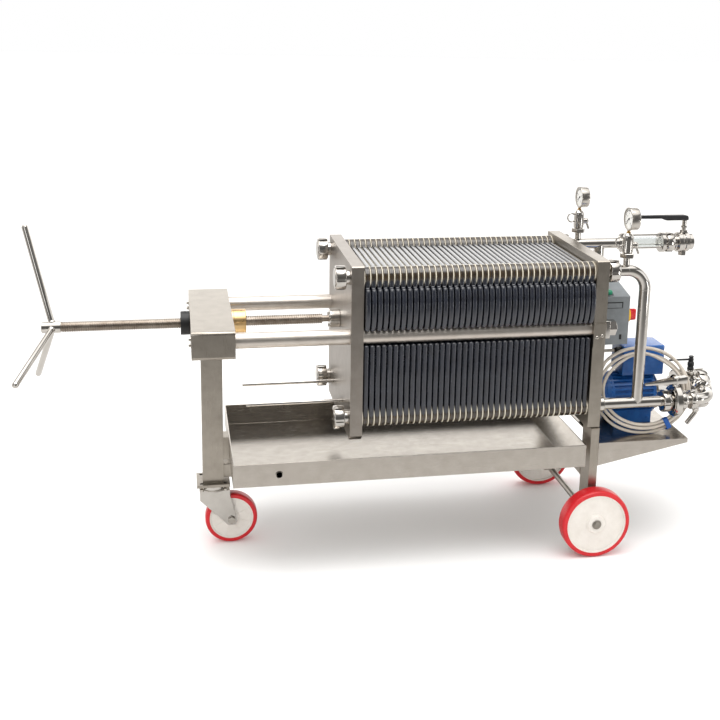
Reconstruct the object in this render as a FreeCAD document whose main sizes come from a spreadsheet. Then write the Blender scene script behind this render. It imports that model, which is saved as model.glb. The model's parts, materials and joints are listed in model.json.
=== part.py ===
"""Plate filter press on a three-wheel trolley, with its screw, feed pump and pipework.

Millimetres, +Z up, +X from the hand wheel towards the pump. The origin is on the floor
under the middle of the machine. The press is drawn closed, with the pack clamped.
"""
import FreeCAD, Part
import math
import os

import Sketcher
from FreeCAD import Placement, Rotation, Vector

doc = FreeCAD.newDocument("filter_press")

# ---------------------------------------------------------------- driving dimensions
DIMENSIONS = [
    # the pack and the two head plates
    ("plate_count", 40), ("plate_thick", 12.6), ("sheet_thick", 3.4), ("sheet_inset", 6),
    ("closed_x", -110), ("head_width", 422), ("head_bottom", 368), ("head_height", 484),
    ("head_corner", 14), ("head_chamfer", 3), ("moving_thick", 34), ("fixed_thick", 36),
    ("lug_thick", 4),
    ("port_spread", 178), ("port_top", 816), ("port_low", 427),
    ("body_half", 205), ("body_bottom", 469), ("body_top", 829.5), ("ear_radius", 27),
    ("handle_reach", 228), ("handle_top", 791),
    # side rails, guide rods and screw
    ("axis_height", 655), ("rail_radius", 21), ("rail_spread", 184),
    ("rail_block", 50), ("rail_block_thick", 14), ("rail_nut_radius", 23),
    ("rail_nut_length", 30),
    ("rod_radius", 5), ("rod_spread", 84), ("rod_height", 440), ("rod_reach", 268),
    ("screw_radius", 14.5), ("screw_length", 704), ("screw_gap", 0.3),
    ("neck_radius", 9), ("neck_length", 20), ("bore_gap", 0.05),
    ("boss_radius", 26), ("boss_length", 29),
    ("hub_radius", 15.5), ("hub_length", 50), ("handle_turn", -15), ("handle_cone", 14),
    ("spoke_radius", 8.5), ("spoke_length", 286),
    # crosshead and leg
    ("cross_gap", 302), ("cross_length", 112), ("cross_width", 456), ("cross_height", 76),
    ("cross_round", 9), ("nut_radius", 33.5), ("nut_length", 40),
    ("collar_radius", 32.5), ("collar_length", 25),
    ("leg_size", 58), ("foot_size", 92), ("foot_thick", 8),
    ("king_radius", 8), ("king_length", 34), ("king_head_thick", 5),
    # trolley, tray and shelf
    ("beam_size", 40), ("beam_height", 222), ("post_depth", 65), ("post_thick", 25),
    ("post_face", 215), ("post_bottom", 85), ("rest_length", 30),
    ("tray_left", -457), ("tray_right", 526), ("tray_width", 464), ("tray_floor", 262),
    ("tray_depth", 64), ("tray_slope", 36), ("tray_sheet", 2.5),
    ("shelf_length", 272), ("shelf_top", 323), ("shelf_deep", 68), ("shelf_tip", 13),
    ("shelf_sheet", 3),
    # wheels
    ("wheel_radius", 100), ("wheel_width", 44), ("tread_thick", 13), ("axle_radius", 9),
    ("axle_overrun", 5), ("wheel_gap", 11),
    ("caster_radius", 74), ("caster_width", 36), ("caster_trail", 50),
    ("caster_rim_step", 12), ("caster_axle", 7), ("race_radius", 38), ("fork_sheet", 5),
    ("fork_gap", 4), ("fork_reach", 38), ("fork_clear", 12), ("fork_above", 30),
    ("foot_gap", 6),
    # motor and pump
    ("pump_y", -15), ("motor_start", 90), ("motor_length", 140), ("motor_radius", 58),
    ("fin_count", 28), ("fin_height", 7), ("motor_foot", 12), ("cowl_length", 44),
    ("terminal_start", 33), ("terminal_length", 130), ("terminal_width", 90),
    ("terminal_height", 90), ("lantern_length", 86), ("lantern_radius", 34),
    ("pump_radius", 45), ("pump_flange", 60), ("pump_flange_thick", 28),
    ("pump_length", 94), ("suction_radius", 18), ("suction_length", 30),
    ("suction_gap", 4),
    # control box
    ("box_start", 0), ("box_length", 110), ("box_front", 110), ("box_depth", 190),
    ("box_bottom", 580), ("box_height", 142), ("box_rise", 37),
    ("switch_radius", 22), ("switch_y", -86), ("switch_z", 662), ("knob_length", 22),
    ("button_radius", 11), ("button_height", 9), ("button_in", 50), ("button_back", 18),
    ("button_stem", 5), ("button_travel", 3), ("gland_radius", 9), ("gland_length", 22),
    ("lead_radius", 4.5), ("lead_y", -40), ("lead_in", 75),
    # pipework
    ("pipe_radius", 16), ("pipe_bend", 56), ("riser_reach", 121),
    ("union_radius", 32), ("union_length", 28), ("union_start", 8), ("slot_depth", 4),
    ("slot_width", 9), ("back_union", 18), ("stub_radius", 19.5), ("stub_length", 12),
    ("train_start", 196.6), ("train_nut", 24), ("train_disc", 22), ("train_gap", 6),
    ("train_radius", 47), ("small_nut", 16), ("small_radius", 28), ("pump_turn", 363),
    ("feed_bar", 94), ("feed_grip", 32), ("feed_high", 25), ("feed_wide", 20),
    ("glass_start", 193), ("glass_length", 140), ("glass_radius", 17),
    ("flange_radius", 31), ("flange_thick", 13), ("tie_radius", 3), ("outlet_rise", 0),
    ("valve_radius", 30), ("valve_length", 80), ("outlet_radius", 25), ("outlet_length", 14),
    ("outlet_bore", 17), ("outlet_depth", 30), ("stem_in", 66), ("stem_radius", 7),
    ("stem_rise", 39), ("lever_length", 153), ("lever_grip", 74), ("lever_thick", 10),
    ("lever_high", 16), ("lever_wide", 18),
    # gauges, taps and the pump's cock
    ("front_gauge_x", 61), ("back_gauge_x", 50), ("gauge_offset", 9), ("gauge_radius", 32),
    ("gauge_depth", 26), ("gauge_rise", 7), ("neck_width", 4),
    ("sampler_radius", 15), ("sampler_start", 37), ("sampler_height", 69),
    ("sampler_nut", 13), ("sampler_foot", 9), ("tap_radius", 9), ("tap_reach", 30),
    ("cock_radius", 10), ("cock_rise", 28), ("cock_length", 71),
    # cable coil
    ("coil_x", 160), ("coil_width", 300), ("coil_tall", 244), ("coil_band", 28),
    ("coil_thick", 24), ("coil_y", -126.6), ("coil_lean", 20), ("plug_radius", 20),
    ("plug_length", 66),
    # clearance of pieces that seat without touching
    ("seat_gap", 0.3),
]
sheet = doc.addObject("Spreadsheet::Sheet", "Dims")
for row, (alias, value) in enumerate(DIMENSIONS, start=1):
    sheet.set("A%d" % row, alias)
    sheet.set("B%d" % row, str(value))
    sheet.setAlias("B%d" % row, alias)
doc.recompute()

X, Y, Z = Vector(1, 0, 0), Vector(0, 1, 0), Vector(0, 0, 1)
TURN = {"x": Rotation(Y, 90), "y": Rotation(X, -90), "z": Rotation()}
ALIASES = {alias for alias, _ in DIMENSIONS}
PRODUCTS = []


# ---------------------------------------------------------------- helpers
def number(text):
    """The value of an expression in the sheet's aliases, in millimetres."""
    return float(sheet.evalExpression(str(text)))


def qualified(text):
    """Puts the sheet's name before each alias in an expression."""
    done, word = "", ""
    for letter in str(text) + " ":
        if letter.isalnum() or letter == "_":
            word += letter
            continue
        done += ("Dims." + word if word in ALIASES else word) + letter
        word = ""
    return done.strip()


def bind(thing, **expressions):
    for name, text in expressions.items():
        thing.setExpression(name.replace("__", "."), qualified(text))


def product(thing, label):
    """Marks an object as a piece of its own, whose label names its file."""
    thing.Label = label
    PRODUCTS.append(thing)
    return thing


def place(thing, x="0", y="0", z="0", axis="z"):
    thing.Placement = Placement(Vector(), TURN[axis])
    bind(thing, Placement__Base__x=x, Placement__Base__y=y, Placement__Base__z=z)
    return thing


def box(name, length, width, height, x, y, z):
    """A block from its low corner."""
    thing = doc.addObject("Part::Box", name)
    bind(thing, Length=length, Width=width, Height=height)
    return place(thing, x, y, z)


def rod(name, radius, length, x, y, z, axis="x"):
    """A round bar from the centre of one end, along an axis."""
    thing = doc.addObject("Part::Cylinder", name)
    bind(thing, Radius=radius, Height=length)
    return place(thing, x, y, z, axis)


def cone(name, radius_a, radius_b, length, x, y, z, axis="x"):
    thing = doc.addObject("Part::Cone", name)
    bind(thing, Radius1=radius_a, Radius2=radius_b, Height=length)
    return place(thing, x, y, z, axis)


def prism(name, sides, radius, length, x, y, z, axis="x"):
    """A bar of regular section, such as a hexagon nut."""
    thing = doc.addObject("Part::Prism", name)
    thing.Polygon = sides
    bind(thing, Circumradius=radius, Height=length)
    return place(thing, x, y, z, axis)


def fuse(name, *parts):
    thing = doc.addObject("Part::MultiFuse", name)
    thing.Shapes = list(parts)
    return thing


def cut(name, base, *tools):
    thing = doc.addObject("Part::Cut", name)
    thing.Base = base
    thing.Tool = tools[0] if len(tools) == 1 else fuse(name + "_tools", *tools)
    return thing


def group(name, *parts):
    """Like pieces that don't touch, kept together."""
    thing = doc.addObject("Part::Compound", name)
    thing.Links = list(parts)
    return thing


def from_origin(body, role):
    return [part for part in body.Origin.OriginFeatures if part.Role == role][0]


def outline(body, name, role, points):
    """A closed sketch of straight lines, each corner held by two bound distances."""
    sketch = body.newObject("Sketcher::SketchObject", name)
    sketch.AttachmentSupport = (from_origin(body, role), [""])
    sketch.MapMode = "FlatFace"
    spots = [Vector(number(across), number(up), 0) for across, up in points]
    count = len(spots)
    lines = [Part.LineSegment(spots[i], spots[(i + 1) % count]) for i in range(count)]
    sketch.addGeometry(lines, False)
    joins = [Sketcher.Constraint("Coincident", i, 2, (i + 1) % count, 1) for i in range(count)]
    sketch.addConstraint(joins)
    for index, (across, up) in enumerate(points):
        spot = spots[index]
        for kind, text, size in (("DistanceX", across, spot.x), ("DistanceY", up, spot.y)):
            held = sketch.addConstraint(Sketcher.Constraint(kind, -1, 1, index, 1, size))
            sketch.setExpression("Constraints[%d]" % held, qualified(text))
    return sketch


def padded(name, role, points, length, middle=True):
    """A body with one pad from an outline, even on both sides of its plane."""
    body = doc.addObject("PartDesign::Body", name)
    sketch = outline(body, name + "_outline", role, points)
    pad = body.newObject("PartDesign::Pad", name + "_pad")
    pad.Profile = sketch
    pad.Midplane = middle
    bind(pad, Length=length)
    return body


def turned(name, points, x, y, z, axis="x"):
    """A body turned about its own upright axis from half a section: radius, height."""
    body = doc.addObject("PartDesign::Body", name)
    sketch = outline(body, name + "_section", "XZ_Plane", points)
    spun = body.newObject("PartDesign::Revolution", name + "_turned")
    spun.Profile = sketch
    spun.ReferenceAxis = (from_origin(body, "Z_Axis"), [""])
    spun.Angle = 360
    return place(body, x, y, z, axis)


def slotted(name, x, y, z, length, radius="union_radius", bore=None, axis="x", count=6):
    """A round nut with slots for a hook spanner, over a pipe when bore is given."""
    points, half = [], "slot_width / 2"
    for index in range(count):
        middle = 360 * index / count
        side = 180 / count
        points += [
            turned_point("%s - slot_depth" % radius, "-1 * " + half, middle),
            turned_point("%s - slot_depth" % radius, half, middle),
            turned_point(radius, half, middle),
            turned_point("(%s) * cos(%s deg)" % (radius, side),
                         "(%s) * sin(%s deg)" % (radius, side), middle),
            turned_point(radius, "-1 * " + half, 360 * (index + 1) / count),
        ]
    body = padded(name, "XY_Plane", points, length, middle=False)
    place(body, x, y, z, axis)
    if bore is None:
        return body
    hole = rod(name + "_bore", bore, length + " + 2", "0", "0", "0", axis)
    shifts = {"x": (" - 1", "", ""), "y": ("", " - 1", ""), "z": ("", "", " - 1")}[axis]
    place(hole, x + shifts[0], y + shifts[1], z + shifts[2], axis)
    return cut(name + "_nut", body, hole)


def turned_point(across, up, angle):
    """A sketch point turned about the origin by an angle in degrees."""
    c, s = round(math.cos(math.radians(angle)), 6), round(math.sin(math.radians(angle)), 6)
    return ("(%s) * (%s) - (%s) * (%s)" % (across, c, up, s),
            "(%s) * (%s) + (%s) * (%s)" % (across, s, up, c))


def feature(name, shape):
    thing = doc.addObject("Part::Feature", name)
    thing.Shape = shape
    return thing


def pipe(name, points, radius, bend=None):
    """A round bar along straight runs with tangent bends; points are expressions."""
    spots = [Vector(*[number(text) for text in point]) for point in points]
    edges, start = [], spots[0]
    for index in range(1, len(spots) - 1):
        corner = spots[index]
        before, after = spots[index - 1] - corner, spots[index + 1] - corner
        half = before.getAngle(after) / 2
        run = 0.45 * min(before.Length, after.Length)
        back = run if bend is None else number(bend) / math.tan(half)
        before.normalize()
        after.normalize()
        enter, leave = corner + before * back, corner + after * back
        between = (before + after).normalize()
        reach = back / math.cos(half)
        middle = corner + between * (reach - back * math.tan(half))
        if (enter - start).Length > 0.01:
            edges.append(Part.LineSegment(start, enter).toShape())
        edges.append(Part.Arc(enter, middle, leave).toShape())
        start = leave
    if (spots[-1] - start).Length > 0.01:
        edges.append(Part.LineSegment(start, spots[-1]).toShape())
    way = (spots[1] - spots[0]).normalize()
    ring = Part.Wire([Part.Circle(spots[0], way, number(radius)).toShape()])
    return feature(name, Part.Wire(edges).makePipeShell([ring], True, True))


# ---------------------------------------------------------------- places worked out once
PACK = "(plate_count * plate_thick + (plate_count + 1) * sheet_thick)"
FIXED_X = "(closed_x + %s)" % PACK
FIXED_BACK = "(%s + fixed_thick)" % FIXED_X
MOVING_X = "(closed_x - moving_thick)"
CROSS_RIGHT = "(%s - cross_gap)" % MOVING_X
CROSS_LEFT = "(%s - cross_length)" % CROSS_RIGHT
LEG_X = "(%s + cross_length / 2)" % CROSS_LEFT
POST_X = "(%s - post_thick)" % FIXED_BACK
BOSS_X = "(%s - boss_length)" % MOVING_X
SCREW_END = "(%s - neck_length)" % BOSS_X
SCREW_START = "(%s - screw_length)" % SCREW_END
FOOT_Z = "(2 * caster_radius + fork_above + foot_gap)"
BODY_MID = "(axis_height - cross_height / 2)"
PIPE_X = "(%s)" % FIXED_BACK
RISER = "(%s + riser_reach)" % FIXED_BACK
GAUGE_Z = "(port_top + sampler_start + sampler_height + gauge_rise + gauge_radius)"
SIDES = (("front", "-1"), ("back", "1"))
HEAD_TOP = "(head_bottom + head_height)"


# ---------------------------------------------------------------- the filter pack
def pack_outline(side_half, low, top, handled):
    """One plate seen from the end: ears at the corners, handles over the side rails."""
    right = [("port_spread - ear_radius * 0.86", top)]
    for angle in (110, 70, 30, -5):
        right.append((
            "port_spread + ear_radius * cos(%d deg)" % angle,
            "port_top + ear_radius * sin(%d deg)" % angle,
        ))
    if handled:
        right += [
            (side_half, "handle_top"), ("handle_reach", "handle_top - 17"),
            ("handle_reach", "rail_rest + 9"), ("handle_reach - 8", "rail_rest"),
        ]
    else:
        right += [(side_half, "rail_rest")]
    right += [
        ("rail_spread - rail_radius - 3", "rail_rest"),
        ("rail_spread - rail_radius - 3", "axis_height - rail_radius - 1"),
        (side_half, "axis_height - rail_radius - 1"),
    ]
    for angle in (0, -60, -120, -180):
        right.append((
            "port_spread + ear_radius * cos(%d deg)" % angle,
            "port_low + ear_radius * sin(%d deg)" % angle,
        ))
    right.append(("port_spread - ear_radius", low))
    rest = "axis_height + rail_radius + seat_gap"
    right = [(a.replace("rail_rest", rest), b.replace("rail_rest", rest)) for a, b in right]
    left = [("-1 * (%s)" % across, up) for across, up in reversed(right)]
    return right + left


def row_of(name, points, thick, count, start):
    """A row of like slabs along the press."""
    body = padded(name, "YZ_Plane", points, thick, middle=False)
    body.AllowCompound = True
    pad = body.Tip
    row = body.newObject("PartDesign::LinearPattern", name + "_row")
    row.Originals = [pad]
    row.Direction = (from_origin(body, "X_Axis"), [""])
    bind(row, Length="(%s - 1) * (plate_thick + sheet_thick)" % count)
    row.setExpression("Occurrences", qualified(count))
    body.Tip = row
    place(body, start)
    return body


plates = row_of(
    "plates", pack_outline("body_half", "body_bottom", "body_top", True),
    "plate_thick", "plate_count", "closed_x + sheet_thick",
)
product(plates, "filter_plates")
SHEET_HALF = "(rail_spread - rail_radius - sheet_inset)"
sheets = row_of("sheets", [
    ("-1 * " + SHEET_HALF, "body_bottom + sheet_inset"), (SHEET_HALF, "body_bottom + sheet_inset"),
    (SHEET_HALF, "body_top - sheet_inset"), ("-1 * " + SHEET_HALF, "body_top - sheet_inset"),
], "sheet_thick", "(plate_count + 1)", "closed_x")
product(sheets, "filter_sheets")


# ---------------------------------------------------------------- the two heads
def head_plate(name, thick, x, corner):
    """A thick head plate with its corners broken."""
    half = "head_width / 2"
    points = [
        ("-1 * (%s - %s)" % (half, corner), "head_bottom"),
        ("%s - %s" % (half, corner), "head_bottom"),
        (half, "head_bottom + %s" % corner),
        (half, "%s - head_chamfer" % HEAD_TOP),
        ("%s - head_chamfer" % half, HEAD_TOP),
        ("-1 * (%s - head_chamfer)" % half, HEAD_TOP),
        ("-1 * (%s)" % half, "%s - head_chamfer" % HEAD_TOP),
        ("-1 * (%s)" % half, "head_bottom + %s" % corner),
    ]
    body = padded(name, "YZ_Plane", points, thick, middle=False)
    return place(body, x)


fixed_slab = head_plate("fixed_slab", "fixed_thick", FIXED_X, "head_chamfer")
lugs = []
for side, sign in SIDES:
    lug = padded("rail_lug_" + side, "XZ_Plane", [
        (FIXED_X, "axis_height - 49"), (FIXED_X + " + 24", "axis_height - 49"),
        (FIXED_BACK, "axis_height + 4"), (FIXED_BACK, "axis_height + 20"),
        (FIXED_X, "axis_height + 20"),
    ], "lug_thick")
    place(lug, "0", "%s * (head_width / 2 + lug_thick / 2)" % sign, "0")
    lugs.append(lug)
product(fuse("fixed_whole", fixed_slab, *lugs), "fixed_head")

moving_slab = head_plate("moving_slab", "moving_thick", MOVING_X, "head_corner")
moving_holes = []
for side, sign in SIDES:
    moving_holes.append(rod(
        "moving_rail_hole_" + side, "rail_radius + seat_gap", "moving_thick + 2",
        MOVING_X + " - 1", "%s * rail_spread" % sign, "axis_height"))
    moving_holes.append(rod(
        "moving_rod_hole_" + side, "rod_radius + seat_gap", "moving_thick + 2",
        MOVING_X + " - 1", "%s * rod_spread" % sign, "rod_height"))
product(cut("moving_head", moving_slab, *moving_holes), "moving_head_plate")

boss = turned("boss", [
    ("neck_radius + bore_gap", "-1 * boss_length"), ("boss_radius", "-1 * boss_length"),
    ("boss_radius", "0"), ("neck_radius + bore_gap", "0"),
], MOVING_X, "0", "axis_height")
product(boss, "thrust_boss")

blanks = []
for side, sign in SIDES:
    for level in ("top", "low"):
        tag = "%s_%s" % (side, level)
        blanks.append(fuse(
            "blank_" + tag,
            slotted("blank_nut_" + tag, MOVING_X + " - stub_length - union_length",
                    "%s * port_spread" % sign, "port_" + level, "union_length"),
            rod("blank_stub_" + tag, "stub_radius", "stub_length", MOVING_X + " - stub_length",
                "%s * port_spread" % sign, "port_" + level)))
product(group("blank_ports", *blanks), "blank_port_nuts")

# ---------------------------------------------------------------- screw and hand wheel
spindle = turned("spindle_bar", [
    ("0", "0"), ("screw_radius", "0"), ("screw_radius", "screw_length"),
    ("neck_radius", "screw_length"),
    ("neck_radius", "screw_length + neck_length + boss_length - seat_gap"),
    ("0", "screw_length + neck_length + boss_length - seat_gap"),
], SCREW_START, "0", "axis_height")
product(spindle, "spindle")

hub = rod("hand_hub", "hub_radius", "hub_length", SCREW_START + " - hub_length", "0",
          "axis_height")
hand_parts = [hub]
for index in range(3):
    turn = number("handle_turn") + 120 * index
    lean = number("handle_cone")
    root = number(SCREW_START) - number("hub_length") * 0.42
    arm = Part.makeCylinder(number("spoke_radius"), number("spoke_length"), Vector(), Z)
    arm.Placement = (
        Placement(Vector(root, 0, number("axis_height")), Rotation(X, turn))
        .multiply(Placement(Vector(), Rotation(Y, -lean)))
    )
    hand_parts.append(feature("spoke_%d" % (index + 1), arm))
product(fuse("hand_wheel", *hand_parts), "handle_spokes")

# ---------------------------------------------------------------- crosshead and its nut
cross_block = box("cross_block", "cross_length", "cross_width", "cross_height", CROSS_LEFT,
                  "-1 * cross_width / 2", BODY_MID)
doc.recompute()
long_edges = [
    index for index, edge in enumerate(cross_block.Shape.Edges, start=1)
    if abs(edge.tangentAt(edge.FirstParameter).x) > 0.9
]
cross_round = doc.addObject("Part::Fillet", "cross_rounded")
cross_round.Base = cross_block
cross_round.Edges = [(index, number("cross_round"), number("cross_round"))
                     for index in long_edges]
cross_bore = rod("cross_bore", "screw_radius + screw_gap", "cross_length + 2",
                 CROSS_LEFT + " - 1", "0", "axis_height")
product(cut("crosshead_block", cross_round, cross_bore), "crosshead")

screw_nut = turned("nut_body", [
    ("screw_radius + screw_gap", "0"), ("nut_radius", "0"), ("nut_radius", "nut_length"),
    ("screw_radius + screw_gap", "nut_length"),
], CROSS_RIGHT, "0", "axis_height")
product(screw_nut, "screw_nut")

collar = turned("collar_body", [
    ("screw_radius + screw_gap", "-1 * collar_length"), ("collar_radius", "-1 * collar_length"),
    ("collar_radius", "0"), ("screw_radius + screw_gap", "0"),
], CROSS_LEFT, "0", "axis_height")
product(collar, "screw_collar")

# ---------------------------------------------------------------- rails and guide rods
rails, rail_nuts, rods = [], [], []
for side, sign in SIDES:
    rails.append(rod(
        "rail_" + side, "rail_radius", "%s - %s" % (FIXED_X, CROSS_RIGHT), CROSS_RIGHT,
        "%s * rail_spread" % sign, "axis_height"))
    rail_nuts.append(fuse(
        "rail_end_" + side,
        box("rail_block_" + side, "rail_block_thick", "rail_block", "rail_block", FIXED_BACK,
            "%s * rail_spread - rail_block / 2" % sign, "axis_height - rail_block / 2"),
        prism("rail_nut_" + side, 6, "rail_nut_radius", "rail_nut_length",
              FIXED_BACK + " + rail_block_thick", "%s * rail_spread" % sign, "axis_height")))
    rods.append(rod(
        "guide_rod_" + side, "rod_radius", "%s - %s + rod_reach" % (FIXED_X, MOVING_X),
        MOVING_X + " - rod_reach", "%s * rod_spread" % sign, "rod_height"))
product(group("rails", *rails), "side_rails")
product(group("rail_ends", *rail_nuts), "rail_nuts")
product(group("rods", *rods), "guide_rods")

# ---------------------------------------------------------------- the trolley frame
leg_tube = box("leg_tube", "leg_size", "leg_size", "%s - %s - foot_thick" % (BODY_MID, FOOT_Z),
               LEG_X + " - leg_size / 2", "-1 * leg_size / 2", FOOT_Z + " + foot_thick")
foot_plate = box("foot_plate", "foot_size", "foot_size", "foot_thick",
                 LEG_X + " - foot_size / 2", "-1 * foot_size / 2", FOOT_Z)
king_pin = rod("king_pin", "king_radius", "king_length", LEG_X, "0",
               FOOT_Z + " - king_length", "z")
king_head = rod("king_head", "king_radius + 5", "king_head_thick", LEG_X, "0",
                FOOT_Z + " - king_length", "z")
product(fuse("front_stand", leg_tube, foot_plate, king_pin, king_head), "front_leg")

posts = [
    box("post_" + side, "post_thick", "post_depth", "head_bottom - post_bottom", POST_X,
        face, "post_bottom")
    for side, face in (("front", "-1 * post_face"), ("back", "post_face - post_depth"))
]
cross_member = box("cross_member", "post_thick", "2 * (post_face - post_depth)", "beam_size",
                   POST_X, "-1 * (post_face - post_depth)", "beam_height - beam_size / 2")
centre_beam = box("centre_beam", "%s - %s - leg_size / 2" % (POST_X, LEG_X), "beam_size",
                  "beam_size", LEG_X + " + leg_size / 2", "-1 * beam_size / 2",
                  "beam_height - beam_size / 2")
axle_bore = rod("axle_bore", "axle_radius", "2 * post_face + 2", POST_X + " + post_thick / 2",
                "-1 * post_face - 1", "wheel_radius", "y")
rear_frame = fuse("rear_welded", *(posts + [cross_member, centre_beam]))
product(cut("rear_stand", rear_frame, axle_bore), "rear_frame")

AXLE_END = "(post_face + wheel_gap + wheel_width + axle_overrun)"
product(rod("axle_bar", "axle_radius", "2 * " + AXLE_END, POST_X + " + post_thick / 2",
            "-1 * " + AXLE_END, "wheel_radius", "y"), "rear_axle")

rest_height = "tray_floor - beam_height - beam_size / 2"
rests = [
    box("tray_rest_" + side, "rest_length", "4 * beam_size", rest_height, spot,
        "-2 * beam_size", "beam_height + beam_size / 2")
    for side, spot in (("front", "tray_left + 60"), ("back", "tray_right - tray_slope - 90"))
]
bracket = box("tray_bracket", "tray_left - %s - leg_size / 2" % LEG_X, "leg_size - 8",
              "tray_depth + 2", LEG_X + " + leg_size / 2", "-1 * (leg_size - 8) / 2",
              "tray_floor - 4")
product(group("tray_supports", *(rests + [bracket])), "tray_supports")

# ---------------------------------------------------------------- the drip tray
tray_outer = padded("tray_outer", "XZ_Plane", [
    ("tray_left", "tray_floor"), ("tray_right", "tray_floor"),
    ("tray_right", "tray_floor + tray_depth"), ("tray_left", "tray_floor + tray_depth"),
], "tray_width")
tray_under = padded("tray_under", "XZ_Plane", [
    ("tray_right - tray_slope - tray_slope / tray_depth", "tray_floor - 1"),
    ("tray_right + 1", "tray_floor - 1"),
    ("tray_right + 1", "tray_floor + tray_depth + tray_depth / tray_slope"),
], "tray_width - 2 * tray_sheet")
tray_inner = padded("tray_inner", "XZ_Plane", [
    ("tray_left + tray_sheet", "tray_floor + tray_sheet"),
    ("tray_right - tray_slope - tray_sheet", "tray_floor + tray_sheet"),
    ("tray_right - 1.2 * tray_sheet", "tray_floor + tray_depth"),
    ("tray_right - 1.2 * tray_sheet", "tray_floor + tray_depth + 2"),
    ("tray_left + tray_sheet", "tray_floor + tray_depth + 2"),
], "tray_width - 2 * tray_sheet")
product(cut("tray", tray_outer, tray_inner, tray_under), "drip_tray")

# ---------------------------------------------------------------- the pump shelf
shelf_outer = padded("shelf_outer", "XZ_Plane", [
    (FIXED_BACK, "shelf_top - shelf_deep"),
    (FIXED_BACK + " + shelf_length", "shelf_top - shelf_tip"),
    (FIXED_BACK + " + shelf_length", "shelf_top"), (FIXED_BACK, "shelf_top"),
], "2 * post_face")
shelf_inner = padded("shelf_inner", "XZ_Plane", [
    (FIXED_BACK + " - 1", "shelf_top - shelf_deep - 2"),
    (FIXED_BACK + " + shelf_length - shelf_sheet", "shelf_top - shelf_deep - 2"),
    (FIXED_BACK + " + shelf_length - shelf_sheet", "shelf_top - shelf_sheet"),
    (FIXED_BACK + " - 1", "shelf_top - shelf_sheet"),
], "2 * (post_face - shelf_sheet)")
product(cut("shelf", shelf_outer, shelf_inner), "pump_shelf")

# ---------------------------------------------------------------- wheels
WHEEL_IN = "(post_face + wheel_gap)"
for side, sign in SIDES:
    inner = WHEEL_IN if side == "back" else "(-1 * %s - wheel_width)" % WHEEL_IN
    middle = "(%s + wheel_width / 2)" % inner
    tread = turned("tread_" + side, [
        ("wheel_radius - tread_thick", "-1 * wheel_width / 2"),
        ("wheel_radius", "-1 * wheel_width / 2"), ("wheel_radius", "wheel_width / 2"),
        ("wheel_radius - tread_thick", "wheel_width / 2"),
    ], POST_X + " + post_thick / 2", middle, "wheel_radius", "y")
    product(tread, "wheel_%s_tread" % side)
    near, far = ("- wheel_gap + 5", "") if side == "back" else ("", "+ wheel_gap - 5")
    rim = turned("rim_" + side, [
        ("axle_radius + bore_gap", "-1 * wheel_width / 2 " + near),
        ("axle_radius + 16", "-1 * wheel_width / 2 " + near),
        ("axle_radius + 16", "-1 * wheel_width / 2 + 7"),
        ("wheel_radius - tread_thick", "-1 * wheel_width / 2 + 7"),
        ("wheel_radius - tread_thick", "wheel_width / 2 - 7"),
        ("axle_radius + 16", "wheel_width / 2 - 7"), ("axle_radius + 16", "wheel_width / 2 " + far),
        ("axle_radius + bore_gap", "wheel_width / 2 " + far),
    ], POST_X + " + post_thick / 2", middle, "wheel_radius", "y")
    product(rim, "wheel_%s_rim" % side)

# ---------------------------------------------------------------- caster
CASTER_X = "(%s + caster_trail)" % LEG_X
caster_tread = turned("caster_tyre", [
    ("caster_radius - caster_rim_step", "-1 * caster_width / 2"),
    ("caster_radius", "-1 * caster_width / 2"), ("caster_radius", "caster_width / 2"),
    ("caster_radius - caster_rim_step", "caster_width / 2"),
], CASTER_X, "0", "caster_radius", "y")
product(caster_tread, "caster_tread")
caster_rim = turned("caster_hub", [
    ("caster_axle + bore_gap", "-1 * caster_width / 2 - 1"),
    ("caster_axle + 14", "-1 * caster_width / 2 - 1"),
    ("caster_axle + 14", "-1 * caster_width / 2 + 5"),
    ("caster_radius - caster_rim_step", "-1 * caster_width / 2 + 5"),
    ("caster_radius - caster_rim_step", "caster_width / 2 - 5"),
    ("caster_axle + 14", "caster_width / 2 - 5"), ("caster_axle + 14", "caster_width / 2 + 1"),
    ("caster_axle + bore_gap", "caster_width / 2 + 1"),
], CASTER_X, "0", "caster_radius", "y")
product(caster_rim, "caster_rim")

FORK_TOP = "(2 * caster_radius + fork_clear)"
CHEEK = "(caster_width / 2 + fork_gap)"
fork_side = [
    ("-1 * fork_reach", FORK_TOP + " + fork_sheet"), ("-1 * fork_reach", FORK_TOP + " - 22"),
    ("caster_trail - 16", "caster_radius - 9"), ("caster_trail - 9", "caster_radius - 16"),
    ("caster_trail + 9", "caster_radius - 16"), ("caster_trail + 16", "caster_radius - 6"),
    ("fork_reach + 8", FORK_TOP + " - 12"), ("fork_reach + 8", FORK_TOP + " + fork_sheet"),
]
cheeks = []
for side, sign in SIDES:
    cheek = padded("fork_cheek_" + side, "XZ_Plane", fork_side, "fork_sheet")
    place(cheek, LEG_X, "%s * (%s + fork_sheet / 2)" % (sign, CHEEK), "0")
    cheeks.append(cheek)
fork_top = box("fork_crown", "2 * fork_reach + 8", "2 * %s" % CHEEK, "fork_sheet",
               LEG_X + " - fork_reach", "-1 * " + CHEEK, FORK_TOP)
fork_race = rod("fork_race", "race_radius", "%s - seat_gap - %s - fork_sheet" % (FOOT_Z, FORK_TOP),
                LEG_X, "0", FORK_TOP + " + fork_sheet", "z")
fork_axle = rod("fork_axle", "caster_axle", "2 * (%s + fork_sheet + 4)" % CHEEK, CASTER_X,
                "-1 * (%s + fork_sheet + 4)" % CHEEK, "caster_radius", "y")
fork_solid = fuse("fork_welded", *(cheeks + [fork_top, fork_race, fork_axle]))
king_bore = rod("king_bore", "king_radius + bore_gap", "%s - 2 * caster_radius" % FOOT_Z,
                LEG_X, "0", "2 * caster_radius + 1", "z")
product(cut("caster_bracket", fork_solid, king_bore), "caster_fork")

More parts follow.
